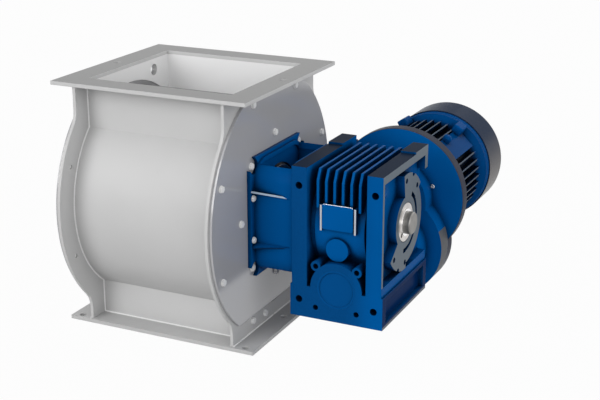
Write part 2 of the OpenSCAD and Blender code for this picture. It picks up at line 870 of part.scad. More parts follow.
// Side cover towards the lantern
module inner_cover() {
    seat = gb_x - qb_half;
    face = gb_x0 - 1;
    color(cast_blue) translate([0, 0, axis_z]) difference() {
        turned_x([[qb_ro, seat], [in_spigot_r - fit_gap, seat],
            [in_spigot_r - fit_gap, gb_x0 + pocket], [in_flange_r, gb_x0 + pocket],
            [in_flange_r, face], [quill_r + 1, face], [quill_r + 1, seat - qb_w - qs_w],
            [qs_r, seat - qb_w - qs_w], [qs_r, seat - qb_w], [qb_ro, seat - qb_w]]);
        for (a = screw_angles) rotate([a, 0, 0]) translate([face - 1, lantern_screw_r, 0])
            rotate([0, 90, 0]) cylinder(r = m8[0] + 0.1, h = 13);
        for (a = in_screw_angles) rotate([a, 0, 0]) translate([face - 1, in_screw_r, 0])
            rotate([0, 90, 0]) {
                cylinder(r = m5[0] + hole_gap, h = pocket + 3);
                cylinder(r = m5[1] / sqrt(3) + 0.4, h = 6);
            }
    }
}

module inner_screws() {
    color(zinc) translate([0, 0, axis_z]) for (a = in_screw_angles) rotate([a, 0, 0])
        translate([gb_x0 + 4, in_screw_r, 0]) rotate([0, -90, 0]) bolt(m5, frame_t - 5);
}

// Cap pressed into the end of the worm tube, its face dished a little
module worm_cover() {
    cap_r = wb_ro - fit_gap;
    color(cast_blue) at_worm(0, 0)
        turned_y([[0, -gb_half + 1.5], [cap_r - 4, -gb_half + 1.5], [cap_r - 3, -gb_half],
            [cap_r, -gb_half], [cap_r, -wb_in - wb_w], [cap_r - 4, -wb_in - wb_w],
            [cap_r - 4, -gb_half + 6], [0, -gb_half + 6]]);
}

module oil_plugs() {
    color(zinc) for (p = plug_places)
        translate([gb_x + p[0], gb_half - 6.5, axis_z + p[1]]) rotate([-90, 0, 0]) {
            cylinder(r = 9.8, h = 6, $fn = 6);
            translate([0, 0, -13]) cylinder(r = 6, h = 14);
        }
}

module quill_bearing_outer() {
    color(steel) translate([gb_x, 0, axis_z]) for (s = [0, 1]) mirror([s, 0, 0])
        translate([qb_half, 0, 0]) rotate([0, 90, 0])
            bearing_outer(quill_r, qb_ro - fit_gap, qb_w);
}

module quill_bearing_inner() {
    color(steel) translate([gb_x, 0, axis_z]) for (s = [0, 1]) mirror([s, 0, 0])
        translate([qb_half, 0, 0]) rotate([0, 90, 0])
            bearing_inner(quill_r + fit_gap, qb_ro - fit_gap, qb_w, 14);
}

module quill_seals() {
    color("dimgray") translate([gb_x, 0, axis_z]) for (s = [0, 1]) mirror([s, 0, 0])
        translate([qb_half + qb_w, 0, 0]) rotate([0, 90, 0])
            linear_extrude(qs_w) ring(qs_r - fit_gap, quill_r + 0.3);
}

module hollow_shaft() {
    color("silver") translate([gb_x, 0, axis_z]) difference() {
        turned_x([[drive_r + fit_gap, -quill_half], [quill_r, -quill_half], [quill_r, -qb_half],
            [quill_r + 4, -qb_half], [quill_r + 4, qb_half], [quill_r, qb_half],
            [quill_r, quill_half], [drive_r + fit_gap, quill_half]]);
        translate([-gb_w, -key_w / 2, 0]) cube([2 * gb_w, key_w, drive_r + 3.9]);
        rotate([225, 0, 0]) translate([quill_half - 14, (quill_r + drive_r) / 2, 0])
            rotate([0, 90, 0]) cylinder(r = 3.3, h = 15);
    }
}

module wheel_hub() {
    hub_out = wheel_root_r - 6;
    color("dimgray") translate([gb_x, 0, axis_z])
        turned_x([[quill_r + 4 + fit_gap, -wheel_w / 2 - 2], [quill_r + 12, -wheel_w / 2 - 2],
            [quill_r + 12, -7], [hub_out - 6, -7], [hub_out - 6, -wheel_w / 2],
            [hub_out, -wheel_w / 2], [hub_out, wheel_w / 2], [hub_out - 6, wheel_w / 2],
            [hub_out - 6, 7], [quill_r + 12, 7], [quill_r + 12, wheel_w / 2 + 2],
            [quill_r + 4 + fit_gap, wheel_w / 2 + 2]]);
}

// ---------- toothed pieces ----------

function polar(r, a) = [r * cos(a), r * sin(a)];
function involute_angle(base, r) = r <= base ? 0
    : sqrt(pow(r / base, 2) - 1) * 180 / PI - acos(base / r);

// Involute gear outline, one tooth centred on angle 0, thinned for backlash
module gear_outline(m, z, backlash) {
    pitch = m * z / 2;
    root = pitch - 1.2 * m;
    base = pitch * cos(20);
    tip = pitch + m;
    half = 90 / z - backlash / 4 / pitch * 180 / PI + involute_angle(base, pitch);
    start = max(base, root);
    steps = 3;
    flank = [for (k = [0 : steps]) let (r = start + (tip - start) * k / steps)
        [r, half - involute_angle(base, r)]];
    polygon([for (i = [0 : z - 1]) let (a = i * 360 / z) each concat(
        [polar(root, a - half - 0.35 * (180 / z - half))],
        [for (k = [0 : steps]) polar(flank[k][0], a - flank[k][1])],
        [for (k = [steps : -1 : 0]) polar(flank[k][0], a + flank[k][1])],
        [polar(root, a + half + 0.35 * (180 / z - half))])]);
}

// Section of the one-start worm: a crest at angle 0 that falls away on both sides
module worm_outline() {
    half_pitch = worm_lead / 4 - mesh_gap / 4;
    crest = 360 * (half_pitch - worm_m * tan(20)) / worm_lead;
    foot = 360 * (half_pitch + 1.2 * worm_m * tan(20)) / worm_lead;
    points = 30;
    polygon([for (i = [0 : points - 1]) let (
        a = i * 360 / points,
        off = min(a, 360 - a),
        k = min(1, max(0, (foot - off) / (foot - crest)))
    ) polar(worm_root_r + 0.05 + (worm_tip_r - worm_root_r - 0.05) * k, a)]);
}

module worm_wheel() {
    turn = worm_m / 2 / worm_pitch_r * wheel_w / wheel_pitch_r * 180 / PI;
    color(bronze) translate([gb_x, 0, axis_z]) rotate([90, 0, 90])
        linear_extrude(wheel_w, center = true, twist = -turn, slices = 4) difference() {
            rotate(-90 - turn / 2) gear_outline(worm_m, wheel_z, mesh_gap);
            circle(wheel_root_r - 6 + 0.2);
        }
}

module worm_shaft() {
    thread = 62;
    turns = thread / worm_lead * 360;
    color("silver") at_worm(0, 0) {
        turned_y([[0, -wb_in - wb_w], [worm_j_r, -wb_in - wb_w], [worm_j_r, -wb_in],
            [worm_root_r, -wb_in], [worm_root_r, wb_in], [worm_j_r, wb_in],
            [worm_j_r, wb_in + wb_w + 30], [worm_j_r - 2.5, wb_in + wb_w + 30],
            [worm_j_r - 2.5, gear_y0 + gear_w + 2], [0, gear_y0 + gear_w + 2]]);
        rotate([-90, 0, 0])
            linear_extrude(thread, center = true, twist = -turns, slices = 66, $fn = 24)
                rotate(90 - turns / 2) worm_outline();
    }
}

module stage_gear() {
    color(steel) at_worm(0, 0) along_y(gear_y0, gear_w) difference() {
        rotate(90 + 180 / gear_z) gear_outline(spur_m, gear_z, 0.4);
        circle(worm_j_r - 2.5 + fit_gap);
        for (i = [0 : 4]) rotate(i * 72) translate([gear_hole_r, 0]) circle(10);
    }
}

module worm_bearing_outer() {
    color(steel) at_worm(0, 0) for (y = [-wb_in - wb_w, wb_in])
        translate([0, y, 0]) rotate([-90, 0, 0]) bearing_outer(worm_j_r, wb_ro - fit_gap, wb_w);
}

module worm_bearing_inner() {
    color(steel) at_worm(0, 0) for (y = [-wb_in - wb_w, wb_in])
        translate([0, y, 0]) rotate([-90, 0, 0])
            bearing_inner(worm_j_r + fit_gap, wb_ro - fit_gap, wb_w, 9);
}

// ---------- pre-stage ----------

stage_screw_r = 36.5;
stage_screw_angles = [0, 60, 120, 180, 240, 300];
neck_case_r = 62;
small_r = 58;
gear_hole_r = 35;
lid_screw_r = case_r - 11;
lid_screw_angles = [-150, -120, -90, -60, -30];

module case_outline(big, small) {
    circle(big);
    translate([0, stage_d]) circle(small);
    translate([-small, 0]) square([2 * small, stage_d]);
}

module stage_case() {
    color(cast_blue) at_worm(0, 0) difference() {
        union() {
            along_y(case_y0, case_y1 - case_y0 + 1) circle(neck_case_r);
            along_y(case_y1, disc_y0 - case_y1) case_outline(case_r, small_r);
            along_y(wb_in + wb_w, case_y0 - wb_in - wb_w + 1) circle(wb_ro - fit_gap);
        }
        along_y(case_y1 + 5, disc_y0) case_outline(66, 30);
        along_y(case_y0 + 8, case_y1 - case_y0 - 14) ring(neck_case_r - 8, worm_j_r + 14);
        along_y(wb_in, case_y1) circle(worm_j_r + 6);
        at_stage_screws() cylinder(r = m6[0] + hole_gap, h = 40, center = true);
        at_lid_screws() translate([0, 0, -disc_t - 20]) cylinder(r = m6[0] + 0.1, h = 30);
    }
}

module at_stage_screws() {
    for (a = stage_screw_angles)
        translate([stage_screw_r * cos(a), case_y0 + 8, stage_screw_r * sin(a)])
            rotate([-90, 0, 0]) children();
}

module at_lid_screws() {
    for (a = lid_screw_angles)
        translate([lid_screw_r * cos(a), disc_y1, lid_screw_r * sin(a)])
            rotate([-90, 0, 0]) children();
}

// Lid of the gear case: the motor's round flange and the case outline in one plate
module motor_flange() {
    color(cast_blue) difference() {
        union() {
            translate([gb_x, 0, motor_z])
                turned_y([[0, disc_y0], [disc_r - 1, disc_y0], [disc_r, disc_y0 + 1],
                    [disc_r, disc_y1 - 1], [disc_r - 1, disc_y1], [0, disc_y1]]);
            at_worm(0, 0) along_y(disc_y0, disc_t) circle(case_r);
        }
        translate([gb_x, 0, motor_z]) {
            along_y(disc_y1 - mb_w, mb_w + 1) circle(mb_ro);
            along_y(disc_y0 - 1, disc_t) circle(motor_shaft_r + 4);
            along_y(disc_y1 - 7, 8) ring(barrel_r - 10, mb_ro + 8);
        }
        at_worm(0, 0) at_lid_screws() translate([0, 0, -disc_t - 1])
            cylinder(r = m6[0] + hole_gap, h = disc_t + 2);
    }
}

module stage_screws() {
    color(zinc) at_worm(0, 0) {
        at_stage_screws() bolt(m6, 8 + 13);
        at_lid_screws() bolt(m6, disc_t + 9);
    }
}

module pinion() {
    color(steel) translate([gb_x, 0, motor_z]) along_y(gear_y0 - 1, gear_w + 2) difference() {
        rotate(-90) gear_outline(spur_m, pinion_z, 0.4);
        circle(motor_shaft_r + fit_gap);
    }
}

// ---------- motor ----------

pad_angles = [47, 133, 227, 313];
pad_half = 15;
pad_w = 40;
pad_r = 86;
flange_bolt_angles = [57, 123, 237, 303];
motor_fin_t = 2.4;
frame_wall = 8;
function near_pad(a) = min([for (p = pad_angles) abs(a - p)]) < pad_half;
fin_angles = [for (i = [0 : fin_n - 1]) let (a = i * 360 / fin_n) if (!near_pad(a)) a];
flare_len = 30;
box_y0 = 226;
box_len = 84;
box_h = 76;
box_out = 50;

module at_motor() {
    translate([gb_x, 0, motor_z]) children();
}

module motor_frame() {
    fin_y1 = frame_y1 - flare_len + 8;
    color(cast_blue) at_motor() difference() {
        union() {
            along_y(disc_y1 + 8, fin_y1 - disc_y1 - 8) {
                circle(barrel_r);
                for (a = fin_angles) rotate(a)
                    translate([barrel_r - 3, -motor_fin_t / 2])
                        square([fin_r - barrel_r + 3, motor_fin_t]);
                for (a = pad_angles) rotate(a)
                    translate([barrel_r - 9, -pad_w / 2]) square([pad_r - barrel_r + 9, pad_w]);
            }
            turned_y([[barrel_r - frame_wall, disc_y1], [barrel_r + 9, disc_y1],
                [barrel_r + 9, disc_y1 + 8], [barrel_r - frame_wall, disc_y1 + 8]]);
            turned_y([[barrel_r - 2, frame_y1 - flare_len], [cowl_r - 3, frame_y1 - 5],
                [cowl_r - 3, frame_y1], [barrel_r - frame_wall, frame_y1],
                [barrel_r - frame_wall, frame_y1 - flare_len]]);
            for (a = flange_bolt_angles) along_y(disc_y1, 22) rotate(a) translate([barrel_r + 10, 0])
                circle(7.5);
            translate([-fin_r - 6, box_y0, -box_h / 2]) cube([fin_r - barrel_r + 20, box_len, box_h]);
        }
        along_y(disc_y1 - 1, frame_len + 2) circle(barrel_r - frame_wall);
        translate([-fin_r - 7, box_y0 + 20, -12]) cube([40, 44, 24]);
    }
}

module stator() {
    color(steel) at_motor() along_y(stator_y0, stator_len)
        ring(barrel_r - frame_wall - fit_gap, stator_ri);
}

module windings() {
    color(bronze) at_motor() for (y = [stator_y0 - 20, stator_y0 + stator_len])
        along_y(y, 20) ring(barrel_r - frame_wall - 4, stator_ri + 3);
}

module motor_shaft() {
    color("silver") at_motor() {
        turned_y([[0, gear_y0 - 1], [motor_shaft_r, gear_y0 - 1], [motor_shaft_r, disc_y1 - mb_w],
            [motor_shaft_r, disc_y1 + 1], [motor_shaft_r + 3, disc_y1 + 1],
            [motor_shaft_r + 3, stator_y0 - 4], [stator_ri - 0.5, stator_y0 - 4],
            [stator_ri - 0.5, stator_y0 + stator_len + 4],
            [motor_shaft_r + 3, stator_y0 + stator_len + 4],
            [motor_shaft_r + 3, frame_y1], [motor_shaft_r, frame_y1],
            [motor_shaft_r, cowl_y1 - 18], [0, cowl_y1 - 18]]);
    }
}

module motor_bearing_outer() {
    color(steel) at_motor() for (y = [disc_y1 - mb_w, frame_y1])
        translate([0, y, 0]) rotate([-90, 0, 0])
            bearing_outer(motor_shaft_r, mb_ro - fit_gap, mb_w);
}

module motor_bearing_inner() {
    color(steel) at_motor() for (y = [disc_y1 - mb_w, frame_y1])
        translate([0, y, 0]) rotate([-90, 0, 0])
            bearing_inner(motor_shaft_r + fit_gap, mb_ro - fit_gap, mb_w, 9);
}

module rear_shield() {
    color(cast_blue) at_motor()
        turned_y([[mb_ro, frame_y1], [cowl_r - 5, frame_y1], [cowl_r - 5, frame_y1 + 8],
            [cowl_r - cowl_t - fit_gap, frame_y1 + 8], [cowl_r - cowl_t - fit_gap, shield_y1],
            [cowl_r - 10, shield_y1], [cowl_r - 16, frame_y1 + 7], [mb_ro + 8, frame_y1 + 7],
            [mb_ro + 6, shield_y1 + 2], [motor_shaft_r + 1, shield_y1 + 2],
            [motor_shaft_r + 1, frame_y1 + mb_w], [mb_ro, frame_y1 + mb_w]]);
}

module cooling_fan() {
    fan_y0 = shield_y1 + 10;
    color("dimgray") at_motor() {
        turned_y([[motor_shaft_r + fit_gap, fan_y0], [22, fan_y0], [22, fan_y0 + 18],
            [70, fan_y0 + 18], [70, fan_y0 + 21], [motor_shaft_r + fit_gap, fan_y0 + 21]]);
        for (i = [0 : 8]) rotate([0, i * 40, 0])
            translate([21, fan_y0 + 2, -1.5]) cube([60, 17, 3]);
    }
}

module fan_cowl() {
    color("slategray") at_motor() {
        turned_y([[cowl_r - cowl_t, cowl_y0], [cowl_r, cowl_y0], [cowl_r, cowl_y1 - 8],
            [cowl_r - 8, cowl_y1], [cowl_r - 9, cowl_y1 - 0.5], [cowl_r - cowl_t, cowl_y1 - 8]]);
        along_y(cowl_y1 - cowl_t, cowl_t) difference() {
            circle(cowl_r - 8);
            for (i = [0 : 15]) rotate(i * 22.5) intersection() {
                ring(cowl_r - 14, 22);
                translate([20, -3.5]) square([80, 7]);
            }
        }
    }
}

module terminal_box() {
    x_in = gb_x - fin_r - 6;
    color(cast_blue) difference() {
        translate([x_in - box_out + 8, box_y0, motor_z - box_h / 2])
            cube([box_out - 8, box_len, box_h]);
        translate([x_in - box_out + 7, box_y0 + 4, motor_z - box_h / 2 + 4])
            cube([box_out - 11, box_len - 8, box_h - 8]);
        translate([x_in - 20, box_y0 + 20, motor_z - 12]) cube([30, 44, 24]);
        for (y = [22, 62]) translate([x_in - 24, box_y0 + y, motor_z - box_h / 2 - 1])
            cylinder(r = 10, h = 6);
    }
}

module terminal_lid() {
    x_in = gb_x - fin_r - 6;
    color(cast_blue) translate([x_in - box_out, box_y0 - 1.5, motor_z - box_h / 2 - 1.5])
        cube([8, box_len + 3, box_h + 3]);
}

drum_casing();
inlet_flange();
outlet_flange();
drive_end_plate();
tail_end_plate();
drive_cover();
tail_cover();
wear_plates();
cover_bolts();
plate_screws();
shaft_seals();
drive_bearing_housing();
tail_bearing_housing();
housing_bolts();
drive_bearing_cap();
tail_bearing_cap();
cap_screws();
rotor_bearing_outer();
rotor_vanes();
vane_tips();
tip_screws();
rotor_shaft();
rotor_bearing_inner();
shaft_key();
shaft_circlip();
lantern();
lantern_bolts();
lantern_screws();
gearbox_housing();
inner_cover();
inner_screws();
worm_cover();
oil_plugs();
quill_bearing_outer();
quill_seals();
hollow_shaft();
wheel_hub();
worm_wheel();
quill_bearing_inner();
worm_shaft();
stage_gear();
worm_bearing_outer();
worm_bearing_inner();
stage_case();
motor_flange();
stage_screws();
motor_frame();
stator();
windings();
motor_bearing_outer();
rear_shield();
fan_cowl();
terminal_box();
terminal_lid();
motor_shaft();
pinion();
motor_bearing_inner();
cooling_fan();
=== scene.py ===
# Rotary airlock valve: finishes, welds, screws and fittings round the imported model, with its stage and light.
# The scene is in metres, the added pieces' own sizes are in mm.
# X is the rotor axis, Y runs from the inspection side to the motor, Z is up.
import math

import bmesh
import bpy
from mathutils import Matrix, Vector


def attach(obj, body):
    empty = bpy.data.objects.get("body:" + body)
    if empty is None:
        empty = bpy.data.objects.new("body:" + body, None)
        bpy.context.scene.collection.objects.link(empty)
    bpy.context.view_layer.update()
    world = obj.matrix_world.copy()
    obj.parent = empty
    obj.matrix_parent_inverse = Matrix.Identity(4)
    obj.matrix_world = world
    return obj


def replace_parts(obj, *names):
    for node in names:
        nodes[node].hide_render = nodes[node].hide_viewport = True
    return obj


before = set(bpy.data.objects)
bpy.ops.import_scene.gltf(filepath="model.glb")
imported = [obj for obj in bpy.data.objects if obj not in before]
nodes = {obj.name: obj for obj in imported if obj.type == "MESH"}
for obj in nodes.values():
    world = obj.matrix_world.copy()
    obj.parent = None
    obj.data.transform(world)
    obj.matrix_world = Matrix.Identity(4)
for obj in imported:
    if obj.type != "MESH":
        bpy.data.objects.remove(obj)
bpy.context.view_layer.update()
scene = bpy.context.scene
mm = 0.001
print("frame loaded:", len(nodes), "nodes")


# Camera

view = {
    "place": (0.9767, -1.6817, 0.8283),
    "down": 18.394,  # degrees
    "turn": 25.303,  # degrees towards -X
    "lens": 74.933,  # mm on a 36 mm sensor
    "shift": (-0.0021, 0.0007),
}


def makeCamera():
    camera = bpy.data.cameras.new("camera")
    camera.sensor_width = 36
    camera.lens = view["lens"]
    camera.shift_x, camera.shift_y = view["shift"]
    camera.clip_start = 0.05
    down, turn = math.radians(view["down"]), math.radians(view["turn"])
    ahead = Vector((-math.sin(turn) * math.cos(down), math.cos(turn) * math.cos(down), -math.sin(down)))
    holder = bpy.data.objects.new("camera", camera)
    holder.location = view["place"]
    holder.rotation_euler = ahead.to_track_quat("-Z", "Y").to_euler()
    scene.collection.objects.link(holder)
    scene.camera = holder


makeCamera()


# Node trees

class Value:  # one output socket; sums on it add Math nodes
    def __init__(self, tree, socket):
        self.tree = tree
        self.socket = socket

    def mathNode(self, operation, first, second):
        return self.tree.add("ShaderNodeMath", {"operation": operation}, {0: first, 1: second})

    def __add__(self, other):
        return self.mathNode("ADD", self, other)

    def __sub__(self, other):
        return self.mathNode("SUBTRACT", self, other)

    def __rsub__(self, other):
        return self.mathNode("SUBTRACT", other, self)

    def __mul__(self, other):
        return self.mathNode("MULTIPLY", self, other)

    def __gt__(self, other):
        return self.mathNode("GREATER_THAN", self, other)

    def __lt__(self, other):
        return self.mathNode("LESS_THAN", self, other)

    def __abs__(self):
        return self.mathNode("ABSOLUTE", self, 0.0)

    __radd__ = __add__
    __rmul__ = __mul__


class Tree:  # a node tree with one way to add any node
    def __init__(self, nodeTree):
        self.nodes = nodeTree.nodes
        self.links = nodeTree.links

    def add(self, kind, settings=None, inputs=None, output=0):
        node = self.nodes.new(kind)
        for key, value in (settings or {}).items():
            setattr(node, key, value)
        for socket, value in (inputs or {}).items():
            self.feed(node.inputs[socket], value)
        return Value(self, node.outputs[output]) if len(node.outputs) else None

    def feed(self, socket, value):
        if isinstance(value, Value):
            self.links.new(value.socket, socket)
        elif isinstance(value, tuple) and len(value) == 3 and socket.type == "RGBA":
            socket.default_value = (*value, 1)
        else:
            socket.default_value = value


class Finish(Tree):  # a material's tree, with the patterns that the finishes share
    def __init__(self, name):
        self.material = bpy.data.materials.new(name)
        self.material.use_nodes = True
        super().__init__(self.material.node_tree)
        self.shader = self.nodes["Principled BSDF"]
        self.place = self.add("ShaderNodeTexCoord", output="Object")
        self.facing = self.add("ShaderNodeTexCoord", output="Normal")

    def noise(self, scale, detail=2.0, stretch=(1, 1, 1), roughness=0.5):
        spot = self.add("ShaderNodeMapping", None, {"Vector": self.place, "Scale": stretch})
        return self.add("ShaderNodeTexNoise", None, {
            "Vector": spot, "Scale": scale, "Detail": detail, "Roughness": roughness})

    def level(self, value, low, high):  # 0 below low, 1 above high, smooth between
        return self.add("ShaderNodeMapRange", {"interpolation_type": "SMOOTHSTEP"}, {
            "Value": value, "From Min": low, "From Max": high})

    def part(self, vector, axis):
        return self.add("ShaderNodeSeparateXYZ", None, {0: vector}, axis)

    def vector(self, operation, first, second=(0, 0, 0), output="Vector"):
        return self.add("ShaderNodeVectorMath", {"operation": operation}, {0: first, 1: second}, output)

    def mix(self, factor, first, second):
        return self.add("ShaderNodeMix", {"data_type": "RGBA"}, {0: factor, 6: first, 7: second}, 2)

    def mixValue(self, factor, first, second):
        return self.add("ShaderNodeMix", {"data_type": "FLOAT"}, {0: factor, 2: first, 3: second})

    def set(self, **sockets):
        for name, value in sockets.items():
            self.feed(self.shader.inputs[name.replace("_", " ")], value)

    def relief(self, layers, edge):  # rounded edges, then each (height, depth in metres) on top
        normal = self.add("ShaderNodeBevel", {"samples": 4}, {"Radius": edge})
        for height, depth in layers:
            normal = self.add("ShaderNodeBump", None, {
                "Strength": 1.0, "Distance": depth, "Height": height, "Normal": normal})
        self.set(Normal=normal)


# Finishes: colours are linear, lengths in metres

enamel = {
    "toneScale": 7, "speckScale": 260, "speckRoughness": 0.10,
    "grimeScale": 34, "grimeFrom": (0.60, 0.82), "grimeRoughness": 0.12,
    "cutScale": 420, "cutShades": (0.85, 1.12), "cutRoughness": 0.1,
    "peelScale": 1500, "peel": 0.00002,  # the fine skin of sprayed enamel
}


def shade(colour, factor):
    return tuple(min(1.0, part * factor) for part in colour)


def bareOrPaintedLightMask(finish, bareOrPaintedLight):  # mask of one face that was machined, or that carries painted shade or a painted highlight
    here = finish.part(finish.place, bareOrPaintedLight["axis"])
    aimed = finish.part(finish.facing, bareOrPaintedLight["axis"]) * bareOrPaintedLight.get("side", 1)
    face = (here > bareOrPaintedLight["from"]) * (here < bareOrPaintedLight["to"]) * (aimed > bareOrPaintedLight.get("aim", 0.9))
    for axis, low, high in bareOrPaintedLight.get("within", []):
        across = finish.part(finish.place, axis)
        face = face * (across > low) * (across < high)
    if "fade" in bareOrPaintedLight:
        axis, gone, full = bareOrPaintedLight["fade"]
        face = face * finish.level(finish.part(finish.place, axis), gone, full)
    return face


def rimSheenMask(finish, rim):  # mask of the edges round an axis along Y, where a painted grey sheen goes
    flat = finish.vector("MULTIPLY", finish.place, (1, 0, 1))
    spoke = finish.vector("SUBTRACT", flat, (rim["centre"][0], 0, rim["centre"][1]))
    out = finish.vector("LENGTH", spoke, output="Value")
    straight = finish.vector("DOT_PRODUCT", spoke, finish.facing, output="Value")
    along = finish.part(finish.place, "Y")
    return (out > rim["beyond"]) * (along > rim["from"]) * (along < rim["to"]) * (straight > out * rim["aim"])


def chamberFace(finish, room):  # mask of the casing's inside, which is narrower in its lower half
    upper = finish.part(finish.place, "Z") > room["middle"]
    half = finish.mixValue(upper, room["lowerHalf"], room["upperHalf"])
    across = abs(finish.part(finish.place, "Y"))
    along = abs(finish.part(finish.place, "X"))
    return (across < half) * (along < room["halfLength"])


def paint(name, look):  # sprayed enamel, with cast grain under it where the piece is a casting
    finish = Finish(name)
    colour = look["colour"]
    speck = finish.noise(enamel["speckScale"], 3)
    tone = finish.level(finish.noise(enamel["toneScale"], 3), 0.3, 0.7)
    base = finish.mix(tone, shade(colour, 1 - look["drift"]), shade(colour, 1 + look["drift"]))
    grime = finish.level(finish.noise(enamel["grimeScale"], 5, roughness=0.65), *enamel["grimeFrom"])
    base = finish.mix(grime * look["grime"], base, look["grimeColour"])
    rough = look["roughness"] + (speck - 0.5) * enamel["speckRoughness"] + grime * enamel["grimeRoughness"]
    # painted shade: the colour darkens in the narrow gaps, as far as they are closed in
    openness = finish.add("ShaderNodeAmbientOcclusion", {"samples": 6}, {"Distance": look["hollow"]}, "AO")
    base = finish.mix(finish.level(openness, *look["hollowFrom"]), shade(colour, look["paintedGapShade"]), base)
    metallic = 0.0
    darkCut, lightCut = enamel["cutShades"]
    # each entry is a bare machined face, or painted shade or a painted highlight on one face
    for bareOrPaintedLight in look.get("bareOrPaintedLight", []):
        face = bareOrPaintedLightMask(finish, bareOrPaintedLight)
        marks = finish.noise(enamel["cutScale"], 2, stretch=bareOrPaintedLight["cut"])
        faceColour = finish.mix(marks, shade(bareOrPaintedLight["colour"], darkCut), shade(bareOrPaintedLight["colour"], lightCut))
        base = finish.mix(face, base, faceColour)
        rough = finish.mixValue(face, rough, bareOrPaintedLight["roughness"] + marks * enamel["cutRoughness"])
        metallic = metallic + face * bareOrPaintedLight["metallic"]
    for rim in look.get("sheenRims", []):
        base = finish.mix(rimSheenMask(finish, rim), base, rim["colour"])
    if "sideColour" in look:  # painted sheen: greyer on the side that faces out and down
        slope = finish.part(finish.facing, "X") * 0.7 - finish.part(finish.facing, "Z") * 0.7
        base = finish.mix(finish.level(slope, 0.1, 1.0), base, look["sideColour"])
    # painted light: the chamber's inside is lighter
    if "inside" in look:
        base = finish.mix(chamberFace(finish, look["inside"]), base, look["insideColour"])
    finish.set(Base_Color=base, Roughness=rough, Metallic=metallic)
    finish.shader.inputs["Specular IOR Level"].default_value = look["gloss"]
    grain = finish.noise(look["grainScale"], 3)
    peel = finish.noise(enamel["peelScale"], 1)
    finish.relief([(grain, look["grain"]), (peel, enamel["peel"])], look["edge"])
    return finish.material


def metal(name, look):  # bare metal with the marks of how it was cut
    finish = Finish(name)
    colour = look["colour"]
    marks = finish.noise(look["markScale"], 3, stretch=look["stretch"])
    tone = finish.level(marks, 0.3, 0.7)
    base = finish.mix(tone, shade(colour, 1 - look["drift"]), shade(colour, 1 + look["drift"]))
    stain = finish.level(finish.noise(22, 4), 0.52, 0.75)
    base = finish.mix(stain * look["stain"], base, look["stainColour"])
    rough = look["roughness"] + (marks - 0.5) * look["roughDrift"] + stain * 0.08
    finish.set(Base_Color=base, Roughness=rough, Metallic=look["metallic"])
    finish.relief([(marks, look["grain"])], look["edge"])
    return finish.material


casingLook = {  # light grey enamel
    "colour": (0.57, 0.57, 0.57), "drift": 0.02, "grime": 0.08, "grimeColour": (0.42, 0.42, 0.41),
    "roughness": 0.40, "gloss": 0.30, "grainScale": 420, "grain": 0.00004, "edge": 0.0009,
    "hollow": 0.04, "paintedGapShade": 0.82, "hollowFrom": (0.30, 0.95),
}
weldLook = dict(casingLook, colour=(0.33, 0.33, 0.33), gloss=0.05, grain=0.00008, edge=0.0003)
chamber = {  # inside of the drum and the throat, made lighter as painted light
    "middle": 0.2, "upperHalf": 0.1184, "lowerHalf": 0.1014, "halfLength": 0.1263,
}
drumLook = dict(casingLook, inside=chamber, insideColour=(0.84, 0.84, 0.84))
coverLook = dict(
    casingLook, colour=(0.43, 0.43, 0.445), roughness=0.12, gloss=0.95, grain=0.00002, hollow=0.02)
flangeTop = {  # milled face of the inlet flange, bare steel, its darkness partly painted shade of the dim light from above
    "axis": "Z", "from": 0.3992, "to": 0.4010, "cut": (0.06, 1, 1),
    "colour": (0.27, 0.27, 0.27), "roughness": 0.36, "metallic": 0.4,
}
flangeLook = dict(casingLook, bareOrPaintedLight=[flangeTop])
blueLook = {  # deep blue enamel of the drive
    "colour": (0.0003, 0.088, 0.315), "drift": 0.05, "grime": 0.08, "grimeColour": (0.0005, 0.055, 0.19),
    "roughness": 0.24, "gloss": 0.008, "grainScale": 330, "grain": 0.00005, "edge": 0.0011,
    "hollow": 0.022, "paintedGapShade": 0.13, "hollowFrom": (0.38, 0.90),
}
machinedRim = {  # free side of the gearbox frame
    "axis": "X", "from": 0.3556, "to": 0.3575, "within": [("Z", 0.1245, 0.31)], "cut": (1, 1, 0.05),
    "colour": (0.12, 0.15, 0.18), "roughness": 0.34, "metallic": 0.5,
}
shadedFrameTops = {  # tops of the frames and pads, darkened as painted shade of the dim light from above
    "axis": "Z", "from": 0.2950, "to": 0.3000, "cut": (1, 0.08, 1),
    "colour": (0.009, 0.019, 0.042), "roughness": 0.30, "metallic": 0.0,
}
shadedFootFlank = {  # recess in the side of the foot, painted dark navy as its shade
    "axis": "X", "from": 0.3500, "to": 0.3590, "within": [("Z", 0.0625, 0.1085)], "cut": (1, 1, 1),
    "colour": (0.0005, 0.020, 0.092), "roughness": 0.26, "metallic": 0.0,
}
footLedge = {  # machined strip below that recess
    "axis": "X", "from": 0.3580, "to": 0.3590, "within": [("Z", 0.05, 0.0625)], "cut": (1, 0.1, 1),
    "colour": (0.14, 0.155, 0.18), "roughness": 0.34, "metallic": 0.3,
}
ribHighlights = {  # the two ribs beside the front plate, painted bright grey as a highlight
    "axis": "Y", "side": -1, "from": -0.0895, "to": -0.0878, "within": [("Z", 0.198, 0.242)],
    "cut": (1, 1, 0.2), "colour": (0.52, 0.55, 0.60), "roughness": 0.26, "metallic": 0.5,
}
shadedPostFront = {  # front of the foot and the post towards the casing, darker as painted shade, fading out towards +X
    "axis": "Y", "side": -1, "from": -0.0945, "to": -0.0925, "fade": ("X", 0.348, 0.296), "cut": (1, 1, 1),
    "colour": (0.0018, 0.062, 0.215), "roughness": 0.24, "metallic": 0.0,
}
gearboxLook = dict(blueLook, bareOrPaintedLight=[machinedRim, shadedFrameTops, shadedFootFlank, footLedge, ribHighlights, shadedPostFront])
wormCoverLook = dict(blueLook, colour=(0.0014, 0.067, 0.235))
